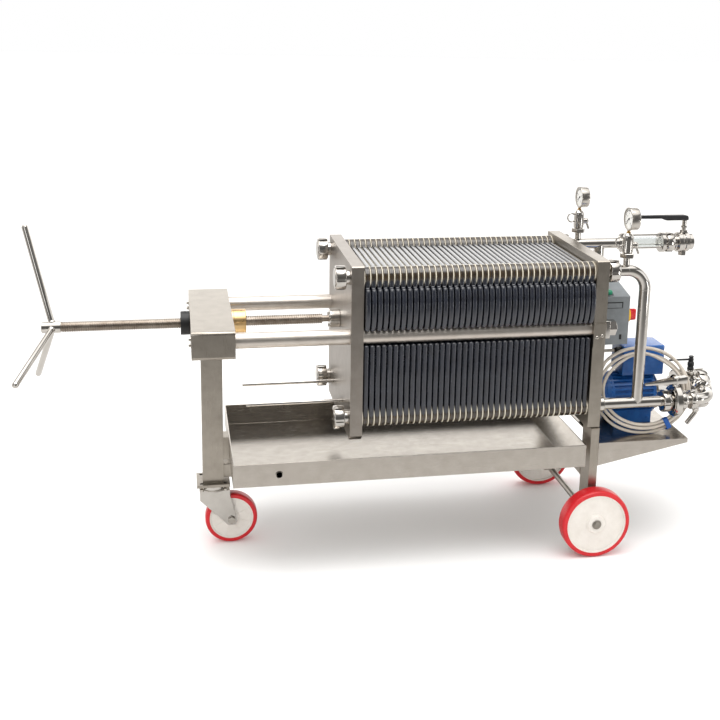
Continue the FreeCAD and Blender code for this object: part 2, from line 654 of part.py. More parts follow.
# ---------------------------------------------------------------- motor and pump
SHAFT_Z = "(shelf_top + motor_foot + motor_radius + fin_height)"
fin_points = []
FINS = int(number("fin_count"))
for index in range(FINS):
    for share, reach in ((-0.31, 0), (-0.19, 1), (0.19, 1), (0.31, 0)):
        angle = 2 * math.pi * (index + share) / FINS
        size = number("motor_radius") + reach * number("fin_height")
        fin_points.append(Vector(0, size * math.cos(angle), size * math.sin(angle)))
stator = Part.Face(Part.makePolygon(fin_points + fin_points[:1]))
stator = stator.extrude(X * number("motor_length"))
stator.translate(Vector(number(FIXED_BACK + " + motor_start"), number("pump_y"),
                        number(SHAFT_Z)))
stator_piece = feature("stator", stator)
MOTOR_X = "(%s + motor_start)" % FIXED_BACK
feet = [
    box("motor_foot_" + side, "motor_length - 24", "22", "motor_foot + fin_height + 20",
        MOTOR_X + " + 12", "pump_y %s" % spot, "shelf_top")
    for side, spot in (("front", "- 58"), ("back", "+ 36"))
]
product(fuse("motor", stator_piece, *feet), "motor_body")
product(turned("cowl", [
    ("0", "-1 * cowl_length"), ("motor_radius + fin_height + 1", "-1 * cowl_length"),
    ("motor_radius + fin_height + 1", "0"), ("0", "0"),
], MOTOR_X, "pump_y", SHAFT_Z), "fan_cowl")
TERMINAL_Z = "(%s + motor_radius + fin_height)" % SHAFT_Z
product(box("terminal", "terminal_length", "terminal_width", "terminal_height",
            MOTOR_X + " + terminal_start", "pump_y - terminal_width / 2", TERMINAL_Z),
        "terminal_box")
GLAND_Z = "(%s + lead_in)" % TERMINAL_Z
GLAND_X = "(%s + terminal_start - gland_length)" % MOTOR_X
PUMP_X = "(%s + motor_length)" % MOTOR_X
CASING_X = "(%s + lantern_length)" % PUMP_X
PORT_X = "(%s + pump_length / 2)" % CASING_X
PORT_FACE = "(pump_y - pump_flange - 4)"
lantern = turned("pump_lantern", [
    ("0", "0"), ("motor_radius", "0"), ("motor_radius", "10"), ("lantern_radius", "18"),
    ("lantern_radius", "lantern_length"), ("0", "lantern_length"),
], PUMP_X, "pump_y", SHAFT_Z)
casing = rod("pump_casing", "pump_radius", "pump_length", CASING_X, "pump_y", SHAFT_Z)
rings = [
    slotted("pump_ring_" + tag, at, "pump_y", SHAFT_Z, "pump_flange_thick", "pump_flange",
            count=12)
    for tag, at in (("near", CASING_X), ("far", CASING_X + " + pump_length - pump_flange_thick"))
]
suction_neck = rod("suction_neck", "suction_radius - 4", "pump_flange + suction_gap + 1",
                   PORT_X, "pump_y", SHAFT_Z, "y")
suction = rod("suction_pipe", "suction_radius", "suction_length", PORT_X,
              "pump_y + pump_flange + suction_gap", SHAFT_Z, "y")
inlet_port = rod("inlet_port", "pipe_radius", "pump_flange + 4", PORT_X, PORT_FACE,
                 "port_low", "y")
cock_neck = rod("cock_neck", "cock_radius", "pump_flange", PORT_X, "pump_y", SHAFT_Z, "z")
product(fuse("pump", lantern, casing, rings[0], rings[1], suction_neck, suction,
             inlet_port, cock_neck),
        "pump_head")

COCK_Z = "(%s + pump_flange)" % SHAFT_Z
product(rod("cock_body", "cock_radius", "cock_rise", PORT_X, "pump_y", COCK_Z, "z"),
        "pump_cock")
COCK_TOP = "(%s + cock_rise + seat_gap)" % COCK_Z
cock_hub = rod("cock_hub", "cock_radius - 2", "16", PORT_X, "pump_y", COCK_TOP, "z")
cock_arm = box("cock_arm", "cock_length", "7", "5", PORT_X + " - cock_length", "pump_y - 3.5",
               COCK_TOP + " + 2")
product(fuse("cock_handle", cock_hub, cock_arm), "cock_lever")

# ---------------------------------------------------------------- control box
BOX_X = "(%s + box_start)" % FIXED_BACK
control = padded("control_case", "YZ_Plane", [
    ("-1 * box_front", "box_bottom"), ("box_depth - box_front", "box_bottom"),
    ("box_depth - box_front", "box_bottom + box_height + box_rise"),
    ("box_depth - box_front - 30", "box_bottom + box_height + box_rise"),
    ("-1 * box_front", "box_bottom + box_height"),
], "box_length", middle=False)
place(control, BOX_X)
BUTTON_SLOPE = "(box_rise / (box_depth - 30))"
well_axis = Vector(0, -number(BUTTON_SLOPE), 1).normalize()
well_top = Vector(number(BOX_X + " + button_in"), number("button_back - box_front"), number(
    "box_bottom + box_height + box_rise * button_back / (box_depth - 30)"))
well = feature("button_well", Part.makeCylinder(
    number("button_stem + bore_gap"), 30, well_top + well_axis * 5, well_axis * -1))
product(cut("control_whole", control, well), "control_box")
BOX_RIGHT = "(%s + box_length)" % BOX_X
product(turned("switch_disc", [
    ("0", "0"), ("switch_radius", "0"), ("switch_radius", "8"), ("0", "8"),
], BOX_RIGHT, "switch_y", "switch_z"), "switch_plate")
knob_round = rod("knob_round", "switch_radius - 8", "10", BOX_RIGHT + " + 8 + seat_gap",
                 "switch_y", "switch_z")
knob_grip = box("knob_grip", "knob_length", "12", "2 * (switch_radius - 5)",
                BOX_RIGHT + " + 8 + seat_gap", "switch_y - 6", "switch_z - switch_radius + 5")
product(fuse("knob", knob_round, knob_grip), "switch_knob")
SLOPE = "atan(box_rise / (box_depth - 30))"
BUTTON_Z = "(box_bottom + box_height + box_rise * button_back / (box_depth - 30))"
lean = number(SLOPE)
seat = Vector(number(BOX_X + " + button_in"), number("button_back - box_front"),
              number(BUTTON_Z))
press = Vector(0, math.sin(math.radians(lean)), -math.cos(math.radians(lean)))
cap = Part.makeCylinder(
    number("button_radius"), number("button_height"),
    seat - press * (number("button_travel") + 0.3), press * -1)
stem = Part.makeCylinder(number("button_stem"), 15, seat - press * 5, press)
product(feature("button", cap.fuse(stem).removeSplitter()), "start_button")
# ---------------------------------------------------------------- pipework
FRONT, BACK = "(-1 * port_spread)", "port_spread"
riser_front = pipe("riser_front", [
    (FIXED_BACK, FRONT, "port_top"), (RISER, FRONT, "port_top"), (RISER, FRONT, "port_low"),
], "pipe_radius", "pipe_bend")
low_front = pipe("low_front", [
    (FIXED_BACK, FRONT, "port_low"), (PORT_X, FRONT, "port_low"),
    (PORT_X, PORT_FACE, "port_low"),
], "pipe_radius", "pipe_bend")
DRAIN_X = "(%s - pipe_bend)" % PORT_X
drain_tube = pipe("drain_tube", [
    (DRAIN_X, FRONT, "port_low"), (DRAIN_X, FRONT, "port_low - pipe_radius - 24"),
    (DRAIN_X + " - 26", FRONT, "port_low - pipe_radius - 58"),
], "tap_radius - 2", "14")
product(fuse("inlet", riser_front, low_front, drain_tube), "inlet_pipes")

GLASS_X = "(%s + glass_start)" % FIXED_BACK
VALVE_X = "(%s + glass_length)" % GLASS_X
riser_back = pipe("riser_back", [
    (RISER, BACK, "port_top"), (RISER, BACK, "port_low"), (FIXED_BACK, BACK, "port_low"),
], "pipe_radius", "pipe_bend")
top_back = rod("top_back", "pipe_radius", "%s - %s" % (GLASS_X, FIXED_BACK), FIXED_BACK, BACK,
               "port_top")
product(fuse("outlet", riser_back, top_back), "outlet_pipes")

glass = turned("glass_tube", [
    ("glass_radius - 3", "0"), ("glass_radius", "0"),
    ("glass_radius", "glass_length - 2 * flange_thick"),
    ("glass_radius - 3", "glass_length - 2 * flange_thick"),
], GLASS_X + " + flange_thick", BACK, "port_top")
product(glass, "sight_glass")
cage_parts = [
    rod("glass_flange_near", "flange_radius", "flange_thick", GLASS_X, BACK, "port_top"),
    rod("glass_flange_far", "flange_radius", "flange_thick", VALVE_X + " - flange_thick", BACK,
        "port_top"),
]
for index in range(3):
    angle = 90 + 120 * index
    cage_parts.append(rod(
        "glass_tie_%d" % (index + 1), "tie_radius", "glass_length - 2 * flange_thick",
        GLASS_X + " + flange_thick",
        "port_spread + (flange_radius - 7) * cos(%d deg)" % angle,
        "port_top + (flange_radius - 7) * sin(%d deg)" % angle))
product(fuse("glass_cage", *cage_parts), "sight_glass_cage")

valve = turned("valve_round", [
    ("0", "0"), ("valve_radius", "0"), ("valve_radius", "30"), ("valve_radius - 9", "30"),
    ("valve_radius - 9", "42"), ("valve_radius + 1", "42"), ("valve_radius + 1", "valve_length"),
    ("outlet_radius", "valve_length"), ("outlet_radius", "valve_length + outlet_length"),
    ("0", "valve_length + outlet_length"),
], VALVE_X, BACK, "port_top")
STEM_X = "(%s + stem_in)" % VALVE_X
stem = rod("valve_stem", "stem_radius", "valve_radius + stem_rise", STEM_X, BACK, "port_top",
           "z")
valve_foot = prism("valve_foot", 6, "stem_radius + 6", "valve_radius + 12", STEM_X, BACK,
                   "port_top - valve_radius - 12", "z")
outlet_bore = rod("outlet_bore", "outlet_bore", "outlet_depth",
                  "%s + valve_length + outlet_length - outlet_depth" % VALVE_X, BACK,
                  "port_top")
product(cut("valve", fuse("valve_whole", valve, stem, valve_foot), outlet_bore), "outlet_valve")

LEVER_Z = "(port_top + valve_radius + stem_rise + seat_gap)"
lever = padded("lever_arm", "XZ_Plane", [
    ("stem_radius + 4", "0"), ("stem_radius + 4", "lever_high"),
    ("-1 * lever_length", "lever_high"), ("-1 * lever_length", "lever_high - lever_thick"),
    ("-1 * lever_grip", "lever_high - lever_thick"), ("10 - lever_grip", "0"),
], "lever_wide")
place(lever, STEM_X, BACK, LEVER_Z)
product(lever, "outlet_lever")

# round nuts on the head's four ports and along the feed line
unions = []
for side, sign, start, size, length in (
        ("front_top", "-1", "union_start", "union_radius", "union_length"),
        ("front_low", "-1", "seat_gap", "stub_radius + 2", "back_union"),
        ("back_top", "1", "seat_gap", "union_radius", "back_union"),
        ("back_low", "1", "seat_gap", "union_radius", "back_union")):
    unions.append(slotted(
        "union_" + side, "%s + %s" % (FIXED_BACK, start), "%s * port_spread" % sign,
        "port_" + side[-3:], length, size, "pipe_radius"))
TRAIN_X = "(%s + train_start)" % FIXED_BACK
DISC_X = "(%s + train_nut + train_gap)" % TRAIN_X
NUTS_X = "(%s + train_disc + train_gap)" % DISC_X
unions += [
    slotted("union_train", TRAIN_X, FRONT, "port_low", "train_nut", "union_radius",
            "pipe_radius"),
    slotted("union_small", NUTS_X, FRONT, "port_low", "small_nut", "small_radius",
            "pipe_radius"),
    slotted("union_last", NUTS_X + " + small_nut + 2 * train_gap", FRONT, "port_low",
            "small_nut", "small_radius", "pipe_radius"),
    slotted("union_pump", PORT_X, PORT_FACE + " - train_disc", "port_low", "train_disc",
            "small_radius", "pipe_radius", "y"),
]
product(group("unions", *unions), "union_nuts")

# the butterfly valve of the feed line and its handle
disc_body = turned("disc_body", [
    ("pipe_radius", "0"), ("train_radius", "0"), ("train_radius", "train_disc"),
    ("pipe_radius", "train_disc"),
], DISC_X, FRONT, "port_low")
product(disc_body, "feed_check_valve")
DISC_MID = "(%s + train_disc / 2)" % DISC_X
FEED_Z = "(port_low + train_radius + seat_gap)"
feed_hub = rod("feed_hub", "cock_radius", "feed_high", DISC_MID, FRONT, FEED_Z, "z")
feed_arm = padded("feed_arm", "XZ_Plane", [
    ("feed_grip", "4"), ("feed_grip", "feed_high"), ("-1 * feed_bar", "8"),
    ("-1 * feed_bar", "2"),
], "feed_wide")
place(feed_arm, DISC_MID, FRONT, FEED_Z)
product(fuse("feed_handle", feed_hub, feed_arm), "feed_lever")

# ---------------------------------------------------------------- gauges on sampling valves
gauges, dials, samplers, necks = [], [], [], []
for side, sign, spot in (("front", "-1", "front_gauge_x"), ("back", "1", "back_gauge_x")):
    valve_x = "(%s + %s)" % (FIXED_BACK, spot)
    centre = "(%s + gauge_offset)" % valve_x
    line = "%s * port_spread" % sign
    gauges.append(turned("gauge_case_" + side, [
        ("0", "-1 * gauge_depth / 2 + 4"), ("gauge_radius - 4", "-1 * gauge_depth / 2 + 4"),
        ("gauge_radius - 4", "-1 * gauge_depth / 2"), ("gauge_radius", "-1 * gauge_depth / 2"),
        ("gauge_radius", "gauge_depth / 2 - 2"), ("gauge_radius - 2", "gauge_depth / 2"),
        ("0", "gauge_depth / 2"),
    ], centre, line, GAUGE_Z))
    dials.append(rod("gauge_dial_" + side, "gauge_radius - 4", "1.2",
                     centre + " - gauge_depth / 2 + 2.8", line, GAUGE_Z))
    body_z = "(port_top + sampler_start)"
    body_top_z = "(%s + sampler_height)" % body_z
    neck = rod("gauge_neck_" + side, "neck_width",
               "gauge_rise + neck_width", valve_x, line, body_top_z,
               "z")
    necks.append(cut("gauge_neck_fit_" + side, neck, rod(
        "neck_fit_" + side, "gauge_radius", "gauge_depth", centre + " - gauge_depth / 2", line,
        GAUGE_Z)))
    body = rod("sampler_body_" + side, "sampler_radius", "sampler_height", valve_x, line,
               body_z, "z")
    ring = prism("sampler_nut_" + side, 6, "sampler_radius + 6", "sampler_nut", valve_x, line,
                 body_z, "z")
    foot = rod("sampler_foot_" + side, "sampler_foot", "sampler_start", valve_x, line,
               "port_top", "z")
    tap = rod("sampler_tap_" + side, "tap_radius", "tap_reach", valve_x, line,
              body_z + " + sampler_height / 2")
    hook_z = "(%s - 12)" % body_top_z
    hook = box("sampler_hook_" + side, "tap_reach + 4", "5", "5", valve_x + " - tap_reach - 4",
               line + " - 2.5", hook_z)
    hook_end = box("sampler_hook_end_" + side, "5", "5", "26", valve_x + " - tap_reach - 4",
                   line + " - 2.5", hook_z + " - 24")
    whole = fuse("sampler_whole_" + side, body, ring, foot, tap, hook, hook_end)
    samplers.append(cut("sampler_" + side, whole, rod(
        "sampler_seat_" + side, "pipe_radius", "120", valve_x + " - 60", line, "port_top")))
product(group("gauges", *gauges), "gauge_cases")
product(group("dials", *dials), "gauge_dials")
product(group("samplers", *samplers), "sample_valves")
product(group("necks", *necks), "gauge_necks")

# ---------------------------------------------------------------- cables
BOX_GLAND_X, BOX_GLAND_Y = "(%s + 30)" % BOX_X, "(lead_y - 30)"
product(group(
    "glands",
    rod("motor_gland", "gland_radius", "gland_length", GLAND_X, "lead_y", GLAND_Z),
    rod("head_gland", "gland_radius", "gland_length", FIXED_BACK, "lead_y", GLAND_Z),
    rod("box_gland", "gland_radius", "gland_length", BOX_GLAND_X, BOX_GLAND_Y,
        "box_bottom - gland_length", "z")), "cable_glands")
product(rod("lead_bar", "lead_radius", "%s - %s - gland_length" % (GLAND_X, FIXED_BACK),
            FIXED_BACK + " + gland_length", "lead_y", GLAND_Z), "motor_lead")

COIL_X = "(%s + coil_x)" % FIXED_BACK
lean = math.radians(number("coil_lean"))
wide, tall = number("coil_width") / 2, number("coil_tall") / 2
band, thick = number("coil_band"), number("coil_thick")
low = tall * math.cos(lean) + thick / 2 * math.sin(lean)
coil_mid = Vector(number(COIL_X), number("coil_y"), number("shelf_top + seat_gap") + low)
ring_faces = []
for inset in (0, band):
    curve = Part.Ellipse(Vector(), wide - inset, tall - inset)
    ring_faces.append(Part.Face(Part.Wire([curve.toShape()])))
coil_shape = ring_faces[0].cut(ring_faces[1]).extrude(Z * thick)
coil_shape.translate(Z * (-thick / 2))
coil_shape.Placement = Placement(coil_mid, Rotation(X, 90 - number("coil_lean"))).multiply(
    coil_shape.Placement)
product(feature("coil", coil_shape), "cable_coil")


def on_coil(across, up):
    """The point of the coil's back face at a share of its half width and height."""
    rise = up * (tall - band / 2)
    return coil_mid + Vector(across * (wide - band / 2), rise * math.sin(lean) + 12 * math.cos(lean),
                             rise * math.cos(lean) - 12 * math.sin(lean))


def cord_route(name, spots):
    """A cord's tube through points, with the radius of each turn printed."""
    for index in range(1, len(spots) - 1):
        before, after = spots[index] - spots[index - 1], spots[index + 1] - spots[index]
        turn = before.getAngle(after)
        radius = 0.45 * min(before.Length, after.Length) / math.tan(turn / 2)
        print("%s turn %d: radius %.0f mm" % (name, index, radius))
    return pipe(name, [tuple(spot) for spot in spots], "lead_radius")


gland_end = Vector(number(BOX_GLAND_X), number(BOX_GLAND_Y), number("box_bottom - gland_length"))
coil_in = on_coil(-0.97, 0.2)
lead_route = [
    gland_end, gland_end + Vector(0, 0, -36), coil_in + Vector(4, 12, 34), coil_in,
]
product(cord_route("mains_lead", lead_route), "cable_lead")
PLUG_X, PLUG_Z = "(%s + 22)" % FIXED_BACK, "(shelf_top + plug_radius + seat_gap)"
plug_end = Vector(number(PLUG_X), number("coil_y + 32"), number(PLUG_Z))
coil_out = on_coil(-0.82, -0.57)
tail_route = [coil_out, (coil_out + plug_end) * 0.5 + Vector(-3, -4, 3), plug_end]
product(cord_route("tail", tail_route), "cable_tail")
plug_parts = [
    rod("plug_grip", "plug_radius", "plug_length", PLUG_X, "coil_y + 32", PLUG_Z, "y")]
for index, (shift, up) in enumerate(((-9, 0), (9, 0), (0, 9)), start=1):
    plug_parts.append(rod("plug_pin_%d" % index, "2.4", "20", PLUG_X + " + %d" % shift,
                          "coil_y + 32 + plug_length - 1", PLUG_Z + " + %d" % up, "y"))
product(fuse("plug", *plug_parts), "cable_plug")

# ---------------------------------------------------------------- check and write
doc.recompute()
os.makedirs("parts", exist_ok=True)
for thing in doc.Objects:
    if "Invalid" in thing.State or "Error" in thing.State:
        raise RuntimeError("%s could not be made" % thing.Name)
for thing in PRODUCTS:
    if thing.Shape.isNull() or not thing.Shape.isValid() or not thing.Shape.Solids:
        raise RuntimeError("%s is not a sound solid" % thing.Label)
for thing in PRODUCTS:
    thing.Shape.exportStep("parts/%s.step" % thing.Label)
print("%d pieces written" % len(PRODUCTS))
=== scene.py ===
"""Looks of the plate filter press: finishes, small fasteners, studio and camera."""

import json
from math import asin, cos, degrees, pi, radians, sin, sqrt, tan

import bpy
from mathutils import Matrix, Vector


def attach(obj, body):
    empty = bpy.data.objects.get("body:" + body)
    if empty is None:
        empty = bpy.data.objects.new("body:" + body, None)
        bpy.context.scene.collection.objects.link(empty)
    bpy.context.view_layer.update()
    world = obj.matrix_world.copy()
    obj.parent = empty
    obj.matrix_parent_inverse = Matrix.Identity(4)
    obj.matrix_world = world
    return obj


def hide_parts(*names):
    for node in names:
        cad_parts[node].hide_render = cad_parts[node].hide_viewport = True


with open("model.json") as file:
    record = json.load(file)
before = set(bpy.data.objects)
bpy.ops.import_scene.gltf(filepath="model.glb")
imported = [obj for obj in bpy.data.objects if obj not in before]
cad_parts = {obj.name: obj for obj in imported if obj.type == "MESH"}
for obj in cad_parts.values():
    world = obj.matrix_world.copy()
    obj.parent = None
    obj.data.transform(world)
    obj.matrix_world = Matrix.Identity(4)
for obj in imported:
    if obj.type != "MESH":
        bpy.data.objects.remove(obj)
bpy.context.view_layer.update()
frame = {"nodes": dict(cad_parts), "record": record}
MM = 0.001
NODES = frame["nodes"]


# -------- finishes
def colour(text):
    """A linear colour from a six-digit sRGB one."""
    parts = [int(text[i:i + 2], 16) / 255 for i in (0, 2, 4)]
    return tuple(p / 12.92 if p < 0.04045 else ((p + 0.055) / 1.055) ** 2.4 for p in parts) + (1,)


def blank(name):
    made = bpy.data.materials.new(name)
    made.use_nodes = True
    tree = made.node_tree
    tree.nodes.clear()
    out = tree.nodes.new("ShaderNodeOutputMaterial")
    shader = tree.nodes.new("ShaderNodeBsdfPrincipled")
    tree.links.new(shader.outputs[0], out.inputs[0])
    return made, tree, shader


def preset(node, values):
    """Sets a node's own sockets by name."""
    for key, value in values.items():
        node.inputs[key].default_value = value


def add(tree, kind, **values):
    node = tree.nodes.new(kind)
    for key, value in values.items():
        if key in node.inputs:
            node.inputs[key].default_value = value
        else:
            setattr(node, key, value)
    return node


def noise(tree, scale, stretch=(1, 1, 1), detail=4, rough=0.6):
    """Noise in the object's own coordinates, stretched along an axis."""
    coords = add(tree, "ShaderNodeTexCoord")
    mapping = add(tree, "ShaderNodeMapping")
    mapping.inputs["Scale"].default_value = stretch
    tree.links.new(coords.outputs["Object"], mapping.inputs["Vector"])
    made = add(tree, "ShaderNodeTexNoise", Scale=scale, Detail=detail, Roughness=rough)
    tree.links.new(mapping.outputs[0], made.inputs["Vector"])
    return made


def span(tree, source, low, high, begin=0.3, end=0.7):
    """Maps a value to a range."""
    made = add(tree, "ShaderNodeMapRange")
    preset(made, {"From Min": begin, "From Max": end, "To Min": low, "To Max": high})
    tree.links.new(source, made.inputs["Value"])
    return made.outputs[0]


def bump(tree, shader, source, strength, distance):
    made = add(tree, "ShaderNodeBump", Strength=strength, Distance=distance)
    tree.links.new(source, made.inputs["Height"])
    tree.links.new(made.outputs[0], shader.inputs["Normal"])


def shaded(tree, shader, source, dark, light):
    made = add(tree, "ShaderNodeMix", data_type="RGBA")
    made.inputs[6].default_value = dark
    made.inputs[7].default_value = light
    tree.links.new(source, made.inputs[0])
    tree.links.new(made.outputs[2], shader.inputs["Base Color"])


def metal(name, dark, light, rough, grain=None):
    """A metal with uneven polish and, with grain set, brushed along an axis."""
    made, tree, shader = blank(name)
    shader.inputs["Metallic"].default_value = 1
    base = noise(tree, 30)
    shaded(tree, shader, span(tree, base.outputs[0], 0, 1), colour(dark), colour(light))
    fine = noise(tree, 900 if grain else 120, grain or (1, 1, 1), 3)
    tree.links.new(span(tree, fine.outputs[0], *rough), shader.inputs["Roughness"])
    bump(tree, shader, fine.outputs[0], 0.25, 0.00003)
    return made


def plain(name, dark, light, rough, coat=0, depth=0.00002, fine=500):
    """Plastic, rubber or paint with faint mottling."""
    made, tree, shader = blank(name)
    base = noise(tree, 40)
    shaded(tree, shader, span(tree, base.outputs[0], 0, 1), colour(dark), colour(light))
    small = noise(tree, fine)
    tree.links.new(span(tree, small.outputs[0], *rough), shader.inputs["Roughness"])
    if coat:
        preset(shader, {"Coat Weight": coat, "Coat Roughness": 0.08})
    bump(tree, shader, small.outputs[0], 0.2, depth)
    return made


LONG_X, LONG_Z = (0.02, 1, 1), (1, 1, 0.02)
# dark and light tone, range of roughness, and the direction of the brushing
METALS = {
    "frame_steel": ("A39C92", "B0A99F", (0.26, 0.38), LONG_Z),
    "tray_steel": ("B4AEA6", "C0BAB2", (0.18, 0.28), LONG_X),
    "mirror_steel": ("9D968E", "A9A29B", (0.3, 0.42), LONG_Z),
    "polished_steel": ("C6C2BC", "D2CEC9", (0.06, 0.13)),
    "screw_steel": ("8B7F73", "ACA297", (0.3, 0.45)),
    "bronze": ("D9B47A", "EBCB98", (0.26, 0.38)),
    "neck_brass": ("B08A50", "C9A468", (0.2, 0.32)),
    "bolt_steel": ("BCB7AF", "C9C4BC", (0.16, 0.28)),
    "rail_steel": ("D2CAC1", "DED7CF", (0.36, 0.46), LONG_X),
    "pipe_steel": ("C6C2BC", "D2CEC9", (0.05, 0.11)),
    "gauge_steel": ("BDB8B1", "CAC5BE", (0.14, 0.24)),
    "axle_steel": ("8C8780", "A09A92", (0.28, 0.4)),
    "weld_steel": ("8F8878", "A39C90", (0.3, 0.45)),
}
# dark and light tone, range of roughness, clear coat, then depth and scale of the grain
PLAINS = {
    "black_collar": ("121213", "1B1B1D", (0.4, 0.5)),
    "plate_plastic": ("181A22", "242832", (0.2, 0.3), 0.85),
    "filter_media": ("BDB5A2", "D5CDBB", (0.8, 0.9)),
    "motor_paint": ("144E92", "1E62AC", (0.28, 0.4), 0.3),
    "box_grey": ("757A7D", "82878A", (0.35, 0.45)),
    "yellow_plastic": ("E0AE14", "EDBC20", (0.3, 0.4)),
    "red_plastic": ("B81218", "CC1A20", (0.25, 0.35)),
    "green_plastic": ("157A58", "1C8A66", (0.25, 0.35)),
    "black_lever": ("151517", "1F1F22", (0.35, 0.45)),
    "dial_white": ("EDECE7", "F4F3EF", (0.35, 0.45)),
    "cable_jacket": ("BDB4A8", "CBC2B6", (0.38, 0.5)),
    "red_tread": ("C0141E", "D02029", (0.25, 0.38)),
    "cream_rim": ("D9D3CB", "E2DDD6", (0.35, 0.45)),
    "ear_plastic": ("241C12", "44351F", (0.2, 0.3), 0.9),
    "seal_cream": ("D8CFBB", "E9E1D0", (0.55, 0.7)),
    # black of the dial print, also used as painted shade in the control box's grooves
    "print_and_shade_black": ("101012", "18181A", (0.4, 0.5)),
    "box_shadow": ("5A5F62", "666B6E", (0.4, 0.5)),
    "strap_blue": ("1B4F9A", "2A63B4", (0.7, 0.85), 0, 0.0002, 900),
    "seal_blue": ("2C4FB0", "3A60C4", (0.35, 0.45)),
}
LOOK = {name: metal(name, *row) for name, row in METALS.items()}
LOOK.update((name, plain(name, *row)) for name, row in PLAINS.items())
glass, tree, shader = blank("clear_glass")
preset(shader, {"Base Color": (0.95, 0.98, 0.98, 1), "Transmission Weight": 1,
                "Roughness": 0.02, "IOR": 1.3})
LOOK["clear_glass"] = glass

slot_of = {part["node"]: part["material_slot"] for part in frame["record"]["subparts"]}
for node, thing in NODES.items():
    thing.data.materials.clear()
    thing.data.materials.append(LOOK[slot_of[node]])


# -------- shapes
def turn_to(axis):
    """A matrix that takes +Z to an axis, given by letter or as a vector."""
    if isinstance(axis, str):
        shift = "zxy".index(axis)
        rows = ((1, 0, 0), (0, 1, 0), (0, 0, 1))
        return Matrix(rows[3 - shift:] + rows[:3 - shift]) if shift else Matrix(rows)
    return Vector(axis).normalized().to_track_quat("Z", "Y").to_matrix()


def rounded(centres, radius, steps, begin):
    """A rectangle's outline from the centres of its round corners, taken anticlockwise."""
    spots = []
    for corner, (x, y) in enumerate(centres):
        for k in range(steps + 1):
            a = radians(begin + 90 * corner + 90 // steps * k)
            spots.append((x + radius * cos(a), y + radius * sin(a)))
    return spots


